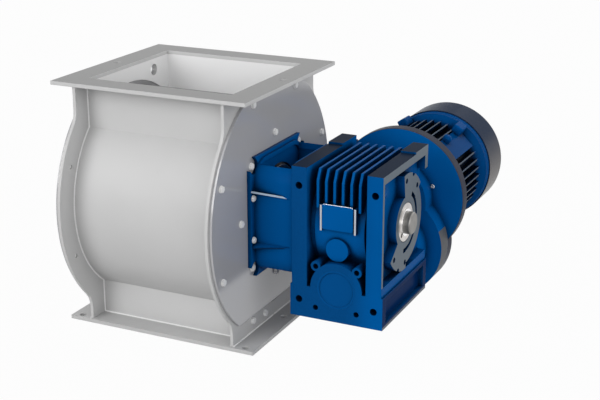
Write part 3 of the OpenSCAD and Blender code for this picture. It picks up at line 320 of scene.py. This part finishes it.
gussetHighlight = {  # edge of the upper gusset of the lantern, painted pale as a highlight
    "axis": "Y", "side": -1, "aim": 0.75, "from": -0.0943, "to": -0.0832, "within": [("Z", 0.2, 0.3)],
    "cut": (1, 1, 1), "colour": (0.32, 0.40, 0.50), "roughness": 0.26, "metallic": 0.2,
}
# edge of the lower gusset, painted dark as a shadow
shadedGusset = dict(gussetHighlight, within=[("Z", 0.1, 0.2)], colour=(0.003, 0.034, 0.115), metallic=0.0)
lanternLook = dict(blueLook, bareOrPaintedLight=[gussetHighlight, shadedGusset])
caseSide = {  # grey flank of the gear case
    "axis": "X", "aim": 0.84, "from": 0.3500, "to": 0.3720,
    "within": [("Y", 0.128, 0.1638), ("Z", 0.062, 0.142)], "cut": (1, 1, 1),
    "colour": (0.13, 0.135, 0.145), "roughness": 0.34, "metallic": 0.1,
}
# a brighter copy of the drive blue: painted light against the shade the gearbox casts on the disc and the stage
# case
litStageLook = dict(blueLook, colour=(0.0004, 0.106, 0.37), paintedGapShade=0.25, bareOrPaintedLight=[caseSide])
motorAxis = (0.283, 0.187)  # its X and Z
# painted sheen on the rim of the motor's disc
discRimSheen = {
    "centre": motorAxis, "beyond": 0.1096, "from": 0.1638, "to": 0.1842, "aim": 0.5,
    "colour": (0.054, 0.058, 0.080),
}
# painted highlight along the tips of the fins
finTipSheen = {
    "centre": motorAxis, "beyond": 0.0870, "from": 0.1900, "to": 0.3175, "aim": 0.992,
    "colour": (0.095, 0.12, 0.16),
}
discLook = dict(litStageLook, bareOrPaintedLight=[], sheenRims=[discRimSheen])
motorLook = dict(
    blueLook, colour=(0.0003, 0.056, 0.21), edge=0.0008, sheenRims=[finTipSheen],
    paintedGapShade=0.03, hollowFrom=(0.5, 0.95))
shieldLook = dict(blueLook, colour=(0.0003, 0.066, 0.25), edge=0.0008)
cowlLook = dict(
    casingLook, colour=(0.012, 0.026, 0.060), drift=0.03, grime=0.05, grimeColour=(0.03, 0.04, 0.06),
    roughness=0.24, gloss=0.012, grain=0.00002, edge=0.0008, hollow=0.02, sideColour=(0.23, 0.22, 0.215))
machinedLook = {  # turned or milled steel
    "colour": (0.46, 0.455, 0.45), "drift": 0.10, "markScale": 160, "stretch": (8, 0.6, 0.6), "stain": 0.12,
    "stainColour": (0.30, 0.28, 0.25), "roughness": 0.30, "roughDrift": 0.14, "metallic": 1.0,
    "grain": 0.00004, "edge": 0.0006,
}
wearLook = dict(machinedLook, colour=(0.42, 0.42, 0.43), stretch=(1, 0.1, 3), roughness=0.38)
hubLook = dict(machinedLook, colour=(0.62, 0.595, 0.57), roughness=0.32, stain=0.08)
shaftLook = dict(hubLook, colour=(0.24, 0.235, 0.225), roughness=0.42)
# rotor steel made lighter as painted light against the shade inside the casing
rotorLook = dict(
    machinedLook, colour=(0.86, 0.86, 0.87), stretch=(0.12, 2, 2), roughness=0.45, metallic=0.15)
zincLook = dict(
    machinedLook, colour=(0.92, 0.92, 0.93), markScale=300, stretch=(1, 1, 1), stain=0.06,
    stainColour=(0.76, 0.75, 0.68), roughness=0.18, roughDrift=0.08, edge=0.0005)
bronzeLook = dict(machinedLook, colour=(0.60, 0.37, 0.15), stainColour=(0.32, 0.17, 0.06))
laminationLook = dict(machinedLook, colour=(0.30, 0.31, 0.33), stretch=(1, 60, 1), roughness=0.5)


def rubber(name):
    finish = Finish(name)
    fine = finish.noise(700, 3)
    bloom = finish.level(finish.noise(40, 4), 0.45, 0.8)
    finish.set(
        Base_Color=finish.mix(bloom, (0.018, 0.018, 0.020), (0.05, 0.05, 0.052)),
        Roughness=0.58 + bloom * 0.2 + (fine - 0.5) * 0.1)
    finish.relief([(fine, 0.00005)], 0.0008)
    return finish.material


def moulded(name, colour):  # injection-moulded plastic
    finish = Finish(name)
    fine = finish.noise(900, 2)
    flow = finish.noise(18, 3, stretch=(1, 1, 4))
    finish.set(
        Base_Color=finish.mix(flow, shade(colour, 0.85), shade(colour, 1.2)),
        Roughness=0.42 + (fine - 0.5) * 0.15)
    finish.relief([(fine, 0.00004)], 0.0006)
    return finish.material


def woundCopper(name):  # varnished coil heads, their turns running round the motor axis
    finish = Finish(name)
    turns = finish.add("ShaderNodeTexWave", {"bands_direction": "Y"}, {
        "Vector": finish.place, "Scale": 300, "Distortion": 4.0, "Detail": 2.0, "Detail Scale": 2.0})
    base = finish.mix(turns, (0.20, 0.05, 0.015), (0.62, 0.24, 0.08))
    finish.set(Base_Color=base, Roughness=0.30 + (1 - turns) * 0.2, Metallic=0.75)
    finish.relief([(turns, 0.0005)], 0.001)
    return finish.material


finishes = {
    "casing": paint("casingEnamel", casingLook),
    "weld": paint("weldEnamel", weldLook),
    "stage": paint("stageEnamel", litStageLook),
    "drum": paint("drumEnamel", drumLook),
    "cover": paint("coverEnamel", coverLook),
    "flange": paint("flangeEnamel", flangeLook),
    "gearbox": paint("gearboxEnamel", gearboxLook),
    "blue": paint("blueEnamel", blueLook),
    "wormCover": paint("wormCoverEnamel", wormCoverLook),
    "lantern": paint("lanternEnamel", lanternLook),
    "disc": paint("discEnamel", discLook),
    "motor": paint("motorEnamel", motorLook),
    "shield": paint("shieldEnamel", shieldLook),
    "cowl": paint("cowlEnamel", cowlLook),
    "machined": metal("machinedSteel", machinedLook),
    "plate": metal("wearPlateSteel", wearLook),
    "hub": metal("hollowShaftSteel", hubLook),
    "shaft": metal("rotorShaftSteel", shaftLook),
    "rotor": metal("rotorSteel", rotorLook),
    "zinc": metal("zincSteel", zincLook),
    "bronze": metal("wheelBronze", bronzeLook),
    "laminations": metal("laminatedSteel", laminationLook),
    "rubber": rubber("sealRubber"),
    "copper": woundCopper("coilCopper"),
    "plastic": moulded("fanPlastic", (0.03, 0.032, 0.036)),
}

wearing = {
    "casing": ["outlet_flange"],
    "drum": ["drum_casing", "drive_end_plate", "tail_end_plate"],
    "flange": ["inlet_flange"],
    "cover": ["drive_cover", "tail_cover"],
    "plate": ["wear_plates"],
    "zinc": ["cover_bolts", "plate_screws", "housing_bolts", "cap_screws", "tip_screws", "lantern_bolts",
             "lantern_screws", "inner_screws", "oil_plugs", "stage_screws", "shaft_circlip"],
    "rubber": ["shaft_seals", "quill_seals", "vane_tips"],
    "machined": ["drive_bearing_housing", "tail_bearing_housing", "drive_bearing_cap", "tail_bearing_cap",
                 "rotor_bearing_outer", "rotor_bearing_inner", "shaft_key", "wheel_hub",
                 "quill_bearing_outer", "quill_bearing_inner", "worm_shaft", "stage_gear",
                 "worm_bearing_outer", "worm_bearing_inner", "motor_bearing_outer",
                 "motor_bearing_inner", "motor_shaft", "pinion"],
    "hub": ["hollow_shaft"],
    "shaft": ["rotor_shaft"],
    "rotor": ["rotor_vanes"],
    "gearbox": ["gearbox_housing"],
    "lantern": ["lantern"],
    "blue": ["inner_cover"],
    "wormCover": ["worm_cover"],
    "stage": ["stage_case"],
    "disc": ["motor_flange"],
    "motor": ["motor_frame"],
    "shield": ["rear_shield", "terminal_box", "terminal_lid"],
    "cowl": ["fan_cowl"],
    "bronze": ["worm_wheel"],
    "laminations": ["stator"],
    "copper": ["windings"],
    "plastic": ["cooling_fan"],
}
for finishName, names in wearing.items():
    for name in names:
        mesh = nodes[name].data
        mesh.materials.clear()
        mesh.materials.append(finishes[finishName])
print("finishes made:", len(finishes))


# Making pieces

def metres(point):  # from mm
    return Vector([part * mm for part in point])


def newObject(name, mesh):
    made = bpy.data.objects.new(name, mesh)
    scene.collection.objects.link(made)
    return made


def pointMesh(name, points, joined=False):
    mesh = bpy.data.meshes.new(name)
    edges = [(index, index + 1) for index in range(len(points) - 1)] if joined else []
    mesh.from_pydata([tuple(point) for point in points], edges, [])
    return mesh


def growMesh(name, group, points, sizes, joined=False):
    # runs a geometry tree on the points and keeps its result as a plain mesh
    source = newObject(name + "Source", pointMesh(name + "Points", points, joined))
    modifier = source.modifiers.new("grow", "NODES")
    modifier.node_group = group
    for item in group.interface.items_tree:
        if item.item_type == "SOCKET" and item.in_out == "INPUT" and item.name in sizes:
            modifier[item.identifier] = sizes[item.name]
    graph = bpy.context.evaluated_depsgraph_get()
    graph.update()
    mesh = bpy.data.meshes.new_from_object(source.evaluated_get(graph))
    source.modifiers.remove(modifier)
    bpy.data.objects.remove(source)
    return mesh


def joinMeshes(name, meshes):
    joined = bmesh.new()
    materials = []
    for mesh in meshes:
        start = len(joined.faces)
        joined.from_mesh(mesh)
        joined.faces.ensure_lookup_table()
        # Open fault: a mesh grown by a node tree has an empty first slot, so its joined piece shows no finish.
        material = mesh.materials[0]
        if material not in materials:
            materials.append(material)
        for face in joined.faces[start:]:
            face.material_index = materials.index(material)
    mesh = bpy.data.meshes.new(name)
    joined.to_mesh(mesh)
    joined.free()
    for material in materials:
        mesh.materials.append(material)
    return mesh


def placePiece(name, mesh):  # every added piece sits on the casing's body
    piece = newObject(name, mesh)
    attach(piece, "casing")
    return piece


class GrowTree(Tree):  # a geometry tree with named inputs
    def __init__(self, name, sizes):
        self.group = bpy.data.node_groups.new(name, "GeometryNodeTree")
        face = self.group.interface
        face.new_socket("Geometry", in_out="INPUT", socket_type="NodeSocketGeometry")
        for size, value in sizes.items():
            face.new_socket(size, in_out="INPUT", socket_type="NodeSocketFloat").default_value = value
        face.new_socket("Material", in_out="INPUT", socket_type="NodeSocketMaterial")
        face.new_socket("Geometry", in_out="OUTPUT", socket_type="NodeSocketGeometry")
        super().__init__(self.group)
        self.inlet = self.nodes.new("NodeGroupInput")
        self.outlet = self.nodes.new("NodeGroupOutput")

    def given(self, name):
        return Value(self, self.inlet.outputs[name])

    def join(self, parts):
        node = self.nodes.new("GeometryNodeJoinGeometry")
        for part in parts:
            self.links.new(part.socket, node.inputs[0])
        return Value(self, node.outputs[0])

    def raised(self, geometry, height):
        place = self.add("ShaderNodeCombineXYZ", None, {2: height})
        return self.add("GeometryNodeTransform", None, {0: geometry, "Translation": place})

    def between(self, low, high, seed):
        return self.add("FunctionNodeRandomValue", {"data_type": "FLOAT"}, {2: low, 3: high, "Seed": seed}, 1)

    def close(self, geometry):
        loose = self.add("GeometryNodeRealizeInstances", None, {0: geometry})
        clad = self.add("GeometryNodeSetMaterial", None, {0: loose, "Material": self.given("Material")})
        self.links.new(clad.socket, self.outlet.inputs[0])


hexHead = {"chamfer": 0.16, "crown": 0.86, "washerSides": 24, "threadSides": 16, "turnSeed": 7}


def makeBoltTree():
    tree = GrowTree("hexBolts", {
        "Thread Radius": 3 * mm, "Head Width": 10 * mm, "Head Height": 4 * mm,
        "Length": 10 * mm, "Washer Radius": 6 * mm, "Washer Thickness": mm})
    corner = tree.given("Head Width") * (1 / math.sqrt(3))
    height = tree.given("Head Height")
    chamfer = height * hexHead["chamfer"]
    length = tree.given("Length")
    washer = tree.given("Washer Thickness")
    head = tree.add("GeometryNodeMeshCylinder", None, {
        "Vertices": 6, "Radius": corner, "Depth": height - chamfer})
    crown = tree.add("GeometryNodeMeshCone", None, {
        "Vertices": 6, "Radius Top": corner * hexHead["crown"], "Radius Bottom": corner, "Depth": chamfer})
    disc = tree.add("GeometryNodeMeshCylinder", None, {
        "Vertices": hexHead["washerSides"], "Radius": tree.given("Washer Radius"), "Depth": washer})
    thread = tree.add("GeometryNodeMeshCylinder", None, {
        "Vertices": hexHead["threadSides"], "Radius": tree.given("Thread Radius"), "Depth": length})
    shape = tree.join([
        tree.raised(head, (height - chamfer) * 0.5),
        tree.raised(crown, height - chamfer),
        tree.raised(disc, washer * 0.5),
        tree.raised(thread, length * -0.5)])
    turn = tree.between(0.0, 1.0472, hexHead["turnSeed"])  # a hexagon repeats after a sixth of a turn
    spin = tree.add("ShaderNodeCombineXYZ", None, {2: turn})
    many = tree.add("GeometryNodeInstanceOnPoints", None, {
        "Points": tree.given("Geometry"), "Instance": shape, "Rotation": spin})
    tree.close(many)
    return tree.group


drop = {"segments": 8, "rings": 5, "sizeSeed": 11}


def makeBeadTree():
    # overlapping drops along a path: the ripples of a fillet weld
    tree = GrowTree("weldBead", {"Bead Radius": 2.4 * mm, "Pitch": 2.0 * mm, "Unevenness": 0.12})
    path = tree.add("GeometryNodeMeshToCurve", None, {0: tree.given("Geometry")})
    spread = tree.add("GeometryNodeResampleCurve", {"mode": "LENGTH"}, {
        0: path, "Length": tree.given("Pitch")})
    ball = tree.add("GeometryNodeMeshUVSphere", None, {
        "Segments": drop["segments"], "Rings": drop["rings"], "Radius": tree.given("Bead Radius")})
    wander = tree.given("Unevenness")
    size = tree.between(1 - wander, 1 + wander, drop["sizeSeed"])
    many = tree.add("GeometryNodeInstanceOnPoints", None, {
        "Points": spread, "Instance": ball, "Scale": size})
    tree.close(many)
    return tree.group


boltTree = makeBoltTree()
beadTree = makeBeadTree()
towards = {
    "+X": Matrix.Rotation(math.radians(90), 4, "Y"),
    "-X": Matrix.Rotation(math.radians(-90), 4, "Y"),
    "+Y": Matrix.Rotation(math.radians(-90), 4, "X"),
    "-Y": Matrix.Rotation(math.radians(90), 4, "X"),
    "-Z": Matrix.Rotation(math.radians(180), 4, "X"),
}


def growBolts(name, sets, material):  # each set has a direction, its places in mm and its bolt
    meshes = []
    for index, (direction, places, size) in enumerate(sets):
        turn = towards[direction]
        local = [turn.inverted() @ metres(place) for place in places]
        sizes = {
            "Thread Radius": size["thread"] * mm, "Head Width": size["width"] * mm,
            "Head Height": size["height"] * mm, "Length": size["length"] * mm,
            "Washer Radius": size["washer"] * mm, "Washer Thickness": size["washerThick"] * mm,
            "Material": material}
        mesh = growMesh(f"{name}{index}", boltTree, local, sizes)
        mesh.transform(turn)
        meshes.append(mesh)
    return joinMeshes(name, meshes)


def turned(name, profile, turn, place, material, sides):
    # a lathe-turned piece: the profile is (radius, height) in mm, from the axis outwards and back to it
    form = bmesh.new()
    around = [2 * math.pi * step / sides for step in range(sides)]
    rings = []
    for radius, height in profile:
        ring = [(radius * mm * math.cos(a), radius * mm * math.sin(a), height * mm) for a in around]
        rings.append([form.verts.new(spot) for spot in (ring if radius else ring[:1])])
    for low, high in zip(rings, rings[1:]):
        for i in range(sides):
            k = (i + 1) % sides
            corners = [low[i % len(low)], low[k % len(low)], high[k % len(high)], high[i % len(high)]]
            form.faces.new([c for n, c in enumerate(corners) if c not in corners[:n]])
    bmesh.ops.remove_doubles(form, verts=form.verts, dist=0.001 * mm)  # closes a profile that is a ring
    bmesh.ops.recalc_face_normals(form, faces=form.faces)
    mesh = bpy.data.meshes.new(name)
    form.to_mesh(mesh)
    form.free()
    mesh.transform(Matrix.Translation(metres(place)) @ turn)
    mesh.materials.append(material)
    return mesh


def slab(name, outline, turn, place, thick, rounding, material, edging):
    # a flat plate of the outline's shape in mm, rounded over on top; its upper edge takes the edging
    form = bmesh.new()
    low = [form.verts.new((x * mm, y * mm, 0)) for x, y in outline]
    face = form.faces.new(low)
    lifted = bmesh.ops.extrude_face_region(form, geom=[face])
    tops = [item for item in lifted["geom"] if isinstance(item, bmesh.types.BMVert)]
    bmesh.ops.translate(form, verts=tops, vec=(0, 0, thick * mm))
    bmesh.ops.recalc_face_normals(form, faces=form.faces)
    rim = [edge for edge in form.edges if all(vert in tops for vert in edge.verts)]
    bmesh.ops.bevel(form, geom=rim, offset=rounding * mm, segments=3, affect="EDGES", profile=0.5)
    form.normal_update()
    for face in form.faces:
        face.material_index = 1 if face.normal.y > 0.3 else 0
    mesh = bpy.data.meshes.new(name)
    form.to_mesh(mesh)
    form.free()
    mesh.transform(Matrix.Translation(metres(place)) @ turn)
    mesh.materials.append(material)
    mesh.materials.append(edging)
    return mesh


def roundedOutline(width, height, radius, steps=6):
    points = []
    for cornerX, cornerY, start in ((1, 1, 0), (-1, 1, 90), (-1, -1, 180), (1, -1, 270)):
        for step in range(steps + 1):
            angle = math.radians(start + 90 * step / steps)
            points.append((cornerX * (width / 2 - radius) + radius * math.cos(angle),
                           cornerY * (height / 2 - radius) + radius * math.sin(angle)))
    return points


# Casing: all in mm

casing = {
    "axisZ": 200, "plateIn": 126, "plateOut": 131, "coverOut": 136, "sheetRadius": 173.5,
    "throatTop": 122, "throatLow": 105, "flangeUnder": 394, "flangeOver": 6,
}
casingBolts = {
    "radius": 190, "angles": [22.5 + 45 * step for step in range(8)],
    "coverLow": 44,  # bolts lower than this sit on the plate, not on the cover
    "ventAngle": 67.5,  # the vent port takes this place at the tail
    "wearRadius": 116, "wearAngles": [45 * step for step in range(8)],
    "footScrew": (-30, 21),  # Y and Z of the last screw in each plate
}
m6 = {"thread": 3, "width": 9.6, "height": 4.0, "length": 8, "washer": 5.9, "washerThick": 0.9}
m5 = dict(m6, thread=2.5, width=8, height=3.5, washer=5.2, washerThick=1.0)


def onRing(radius, angles, x):  # places round the rotor axis
    return [(x, radius * math.cos(math.radians(a)), casing["axisZ"] + radius * math.sin(math.radians(a)))
            for a in angles]


def mirrored(places):
    return [(-x, y, z) for x, y, z in places]


def makeCasingBolts():
    coverOut, plateOut = casing["coverOut"], casing["plateOut"]
    radius, angles = casingBolts["radius"], casingBolts["angles"]
    upper = [a for a in angles
             if casing["axisZ"] + radius * math.sin(math.radians(a)) > casingBolts["coverLow"]]
    lower = [a for a in angles if a not in upper]
    tail = [a for a in upper if a != casingBolts["ventAngle"]]
    wear = onRing(casingBolts["wearRadius"], casingBolts["wearAngles"], coverOut)
    sets = [
        ("+X", onRing(radius, upper, coverOut) + wear, m6),
        ("-X", mirrored(onRing(radius, tail, coverOut) + wear), m6),
    ]
    bolts = placePiece("coverBolts", growBolts("coverBolts", sets, finishes["zinc"]))
    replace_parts(bolts, "cover_bolts")
    low = onRing(radius, lower, plateOut) + [(plateOut, *casingBolts["footScrew"])]
    short = dict(m6, length=4)
    sets = [("+X", low, short), ("-X", mirrored(low), short)]
    screws = placePiece("plateScrews", growBolts("plateScrews", sets, finishes["zinc"]))
    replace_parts(screws, "plate_screws")


weld = {
    "radius": 1.3, "pitch": 1.3, "unevenness": 0.12,
    "off": 0.6,  # of its middle from the faces that it joins
    "steps": 60, "startIn": 1, "endIn": 2,
    "upperSeam": (82, 152), "lowerSeam": (3, 137),  # Y of the seams between plate and flange
}


def weldPaths():
    axisZ, radius, off = casing["axisZ"], casing["sheetRadius"], weld["off"]
    inner, outer = casing["plateIn"] - off, casing["plateOut"] + off
    top, low = casing["throatTop"], casing["throatLow"]
    under, over = casing["flangeUnder"], casing["flangeOver"]
    start = math.degrees(math.acos(top / radius))
    end = -math.degrees(math.acos(low / radius))
    turns = [math.radians(start + (end - start) * step / weld["steps"]) for step in range(weld["steps"] + 1)]
    outline = [(top, under - weld["startIn"])]
    outline += [(radius * math.cos(angle), axisZ + radius * math.sin(angle)) for angle in turns]
    outline += [(low, over + weld["startIn"])]
    reach = casing["plateIn"] - weld["endIn"]
    paths = []
    for side in (-1, 1):
        for x in (-inner, inner):
            paths.append([(x, side * (y + off), z) for y, z in outline])
        paths.append([(x, side * (top + off), under - off) for x in (-reach, reach)])
        paths.append([(x, side * (low + off), over + off) for x in (-reach, reach)])
        for x in (-outer, outer):
            paths.append([(x, side * y, under - off) for y in weld["upperSeam"]])
        for x in (-outer, outer):
            paths.append([(x, side * y, over + off) for y in weld["lowerSeam"]])
    return paths


def makeWelds():
    sizes = {
        "Bead Radius": weld["radius"] * mm, "Pitch": weld["pitch"] * mm, "Unevenness": weld["unevenness"],
        "Material": finishes["weld"]}
    meshes = [growMesh(f"weld{index}", beadTree, [metres(point) for point in path], sizes, joined=True)
              for index, path in enumerate(weldPaths())]
    placePiece("casingWelds", joinMeshes("casingWelds", meshes))


makeCasingBolts()
makeWelds()
print("casing dressed")


# Drive line: all in mm

lanternBolts = {"flange": 6, "y": 87.5, "z": 33.5}
housingBolts = {"flange": 8, "radius": 55, "angles": (45, 135, 225, 315)}


def makeDriveBolts():
    flange = casing["coverOut"] + lanternBolts["flange"]
    places = [(flange, side * lanternBolts["y"], casing["axisZ"] + level * lanternBolts["z"])
              for side in (-1, 1) for level in (-1, 1)]
    bolts = growBolts("lanternBolts", [("+X", places, m5)], finishes["zinc"])
    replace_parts(placePiece("lanternBolts", bolts), "lantern_bolts")
    flange = casing["coverOut"] + housingBolts["flange"]
    places = onRing(housingBolts["radius"], housingBolts["angles"], flange)
    bolts = growBolts("housingBolts", [("+X", places, m6), ("-X", mirrored(places), m6)], finishes["zinc"])
    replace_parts(placePiece("housingBolts", bolts), "housing_bolts")


nipple = {
    "x": 156, "z": 248, "sides": 20,
    "profile": [(0, -2), (3.4, -2), (3.4, 3), (2.2, 3.6), (2.2, 6), (3.0, 7), (3.0, 8.6), (2.0, 9.8),
                (1.0, 10), (0, 9.4)],
}


def makeGreaseNipples():  # one on top of each bearing housing
    meshes = []
    for side in (-1, 1):
        place = (side * nipple["x"], 0, nipple["z"])
        meshes.append(turned(
            f"nipple{side}", nipple["profile"], Matrix.Identity(4), place, finishes["zinc"], nipple["sides"]))
    placePiece("greaseNipples", joinMeshes("greaseNipples", meshes))


plate = {
    "x": 283, "low": 203, "high": 243, "width": 50, "face": -90.6, "thick": 1.6, "corner": 3, "edge": 1.2,
}


def makeFrontPlate():  # blank plate between the two ribs with painted highlights, its upper edge in zinc
    outline = roundedOutline(plate["width"], plate["high"] - plate["low"], plate["corner"])
    place = (plate["x"], plate["face"] + plate["thick"], (plate["low"] + plate["high"]) / 2)
    mesh = slab("frontPlate", outline, towards["-Y"], place, plate["thick"], plate["edge"],
                finishes["blue"], finishes["zinc"])
    placePiece("frontPlate", mesh)


makeDriveBolts()
makeGreaseNipples()
makeFrontPlate()
print("drive line dressed")


# Motor: all in mm

motor = {"axisX": 283, "axisZ": 187}
terminalBox = {"lidX": 139, "screwY": (233, 303), "screwZ": 31, "underZ": 149}
lidScrew = dict(m5, thread=2, width=7, height=2.6, length=6, washer=4.4, washerThick=0.8)
gland = {  # closed with a blanking plug
    "x": 165, "y": (248, 288), "sides": 12,
    "profile": [(0, -2), (12.5, -2), (12.5, 3), (11, 3.5), (11, 5), (13.2, 5.6), (13.2, 13), (11.2, 15),
                (8.5, 16.5), (0, 16.5)],
}


def makeTerminalFittings():
    places = [(terminalBox["lidX"], y, motor["axisZ"] + level * terminalBox["screwZ"])
              for y in terminalBox["screwY"] for level in (-1, 1)]
    screws = growBolts("lidScrews", [("-X", places, lidScrew)], finishes["zinc"])
    placePiece("lidScrews", screws)
    meshes = [turned(f"gland{y}", gland["profile"], towards["-Z"], (gland["x"], y, terminalBox["underZ"]),
                     finishes["plastic"], gland["sides"]) for y in gland["y"]]
    placePiece("cableGlands", joinMeshes("cableGlands", meshes))


lug = {  # for the tie bolts of the motor
    "angles": (58, 122, 238, 302), "low": 86, "y": 318, "width": 17, "length": 28, "thick": 15,
    "corner": 3, "edge": 2.5,
}
eyeStub = {  # base of the lifting eye
    "angle": 57, "low": 84, "y": 254, "sides": 28,
    "profile": [(0, 0), (7.5, 0), (7.5, 10), (6.6, 12.4), (4, 14), (0, 14.4)],
}
flareLip = {  # ring that carries the cowl
    "sides": 96, "profile": [(91, 346), (93.6, 346), (94.8, 349), (95.2, 357.5), (91, 357.5), (91, 346)],
}


def outwards(angle, radius, y):
    # local Z points out from the motor axis, local Y stays along it
    c, s = math.cos(math.radians(angle)), math.sin(math.radians(angle))
    turn = Matrix(((s, 0, c, 0), (0, 1, 0, 0), (-c, 0, s, 0), (0, 0, 0, 1)))
    return turn, (motor["axisX"] + radius * c, y, motor["axisZ"] + radius * s)


def makeMotorLugs():
    blue = finishes["shield"]
    outline = roundedOutline(lug["width"], lug["length"], lug["corner"])
    meshes = [slab(f"lug{angle}", outline, *outwards(angle, lug["low"], lug["y"]), lug["thick"], lug["edge"],
                   blue, blue) for angle in lug["angles"]]
    stubPlace = outwards(eyeStub["angle"], eyeStub["low"], eyeStub["y"])
    meshes.append(turned("eyeStub", eyeStub["profile"], *stubPlace, blue, eyeStub["sides"]))
    centre = (motor["axisX"], 0, motor["axisZ"])
    meshes.append(turned("flareLip", flareLip["profile"], towards["+Y"], centre, blue, flareLip["sides"]))
    placePiece("motorLugs", joinMeshes("motorLugs", meshes))


plug = {  # closes a hole in the motor's disc
    "place": (341, 164, 207), "sides": 24,
    "profile": [(0, -1), (3.6, -1), (3.6, 0.8), (2.9, 1.3), (1.6, 1.3), (1.4, 0.2), (0, 0.2)],
}


def makeDiscPlug():
    mesh = turned("discPlug", plug["profile"], towards["-Y"], plug["place"], finishes["hub"], plug["sides"])
    placePiece("discPlug", mesh)


makeTerminalFittings()
makeMotorLugs()
makeDiscPlug()
print("motor dressed")


# World, floor and lamps

stage = {"ambient": 0.43, "floorGlow": 0.97, "floorGrey": 0.45, "floorHalf": 6.0, "floorDrop": 0.0005}
lamps = [
    {"name": "keyLamp", "towards": (0.50, 1.0, -0.50), "strength": 1.22, "softness": 0.7},
    {"name": "fillLamp", "towards": (-0.1, 1.0, -0.02), "strength": 1.0, "softness": 1.2},
    {"name": "sideLamp", "towards": (-1.0, 0.35, -0.12), "strength": 1.15, "softness": 1.0},
    {"name": "backLamp", "towards": (-0.5, -1.0, -0.3), "strength": 0.8, "softness": 1.2},
]


def seenRays(tree):  # 1 for what the camera sees, also in a gloss or through a glass
    camera, glossy, through = [tree.add("ShaderNodeLightPath", output=ray)
                               for ray in ("Is Camera Ray", "Is Glossy Ray", "Is Transmission Ray")]
    return camera + glossy + through


def makeWorld():
    world = bpy.data.worlds.new("studio")
    world.use_nodes = True
    scene.world = world
    tree = Tree(world.node_tree)
    tree.nodes.clear()
    strength = stage["ambient"] + seenRays(tree) * (1 - stage["ambient"])
    glow = tree.add("ShaderNodeBackground", None, {"Color": (1, 1, 1), "Strength": strength})
    tree.add("ShaderNodeOutputWorld", None, {"Surface": glow})


def makeFloor():
    material = bpy.data.materials.new("floorWhite")
    material.use_nodes = True
    tree = Tree(material.node_tree)
    tree.nodes.clear()
    matt = tree.add("ShaderNodeBsdfDiffuse", None, {"Color": (stage["floorGrey"],) * 3})
    glow = tree.add("ShaderNodeEmission", None, {"Color": (1, 1, 1), "Strength": 1.0})
    blend = tree.add("ShaderNodeMixShader", None, {0: seenRays(tree) * stage["floorGlow"], 1: matt, 2: glow})
    tree.add("ShaderNodeOutputMaterial", None, {"Surface": blend})
    half, drop = stage["floorHalf"], stage["floorDrop"]
    corners = [(-half, -half, -drop), (half, -half, -drop), (half, half, -drop), (-half, half, -drop)]
    mesh = bpy.data.meshes.new("floor")
    mesh.from_pydata(corners, [], [(0, 1, 2, 3)])
    mesh.materials.append(material)
    newObject("floor", mesh)


def makeLamp(lamp):
    light = bpy.data.lights.new(lamp["name"], "SUN")
    light.energy = lamp["strength"]
    light.angle = lamp["softness"]
    holder = bpy.data.objects.new(lamp["name"], light)
    holder.rotation_euler = Vector(lamp["towards"]).to_track_quat("-Z", "Y").to_euler()
    scene.collection.objects.link(holder)


makeWorld()
makeFloor()
for lamp in lamps:
    makeLamp(lamp)
scene.view_settings.view_transform = "Standard"
print("stage made")
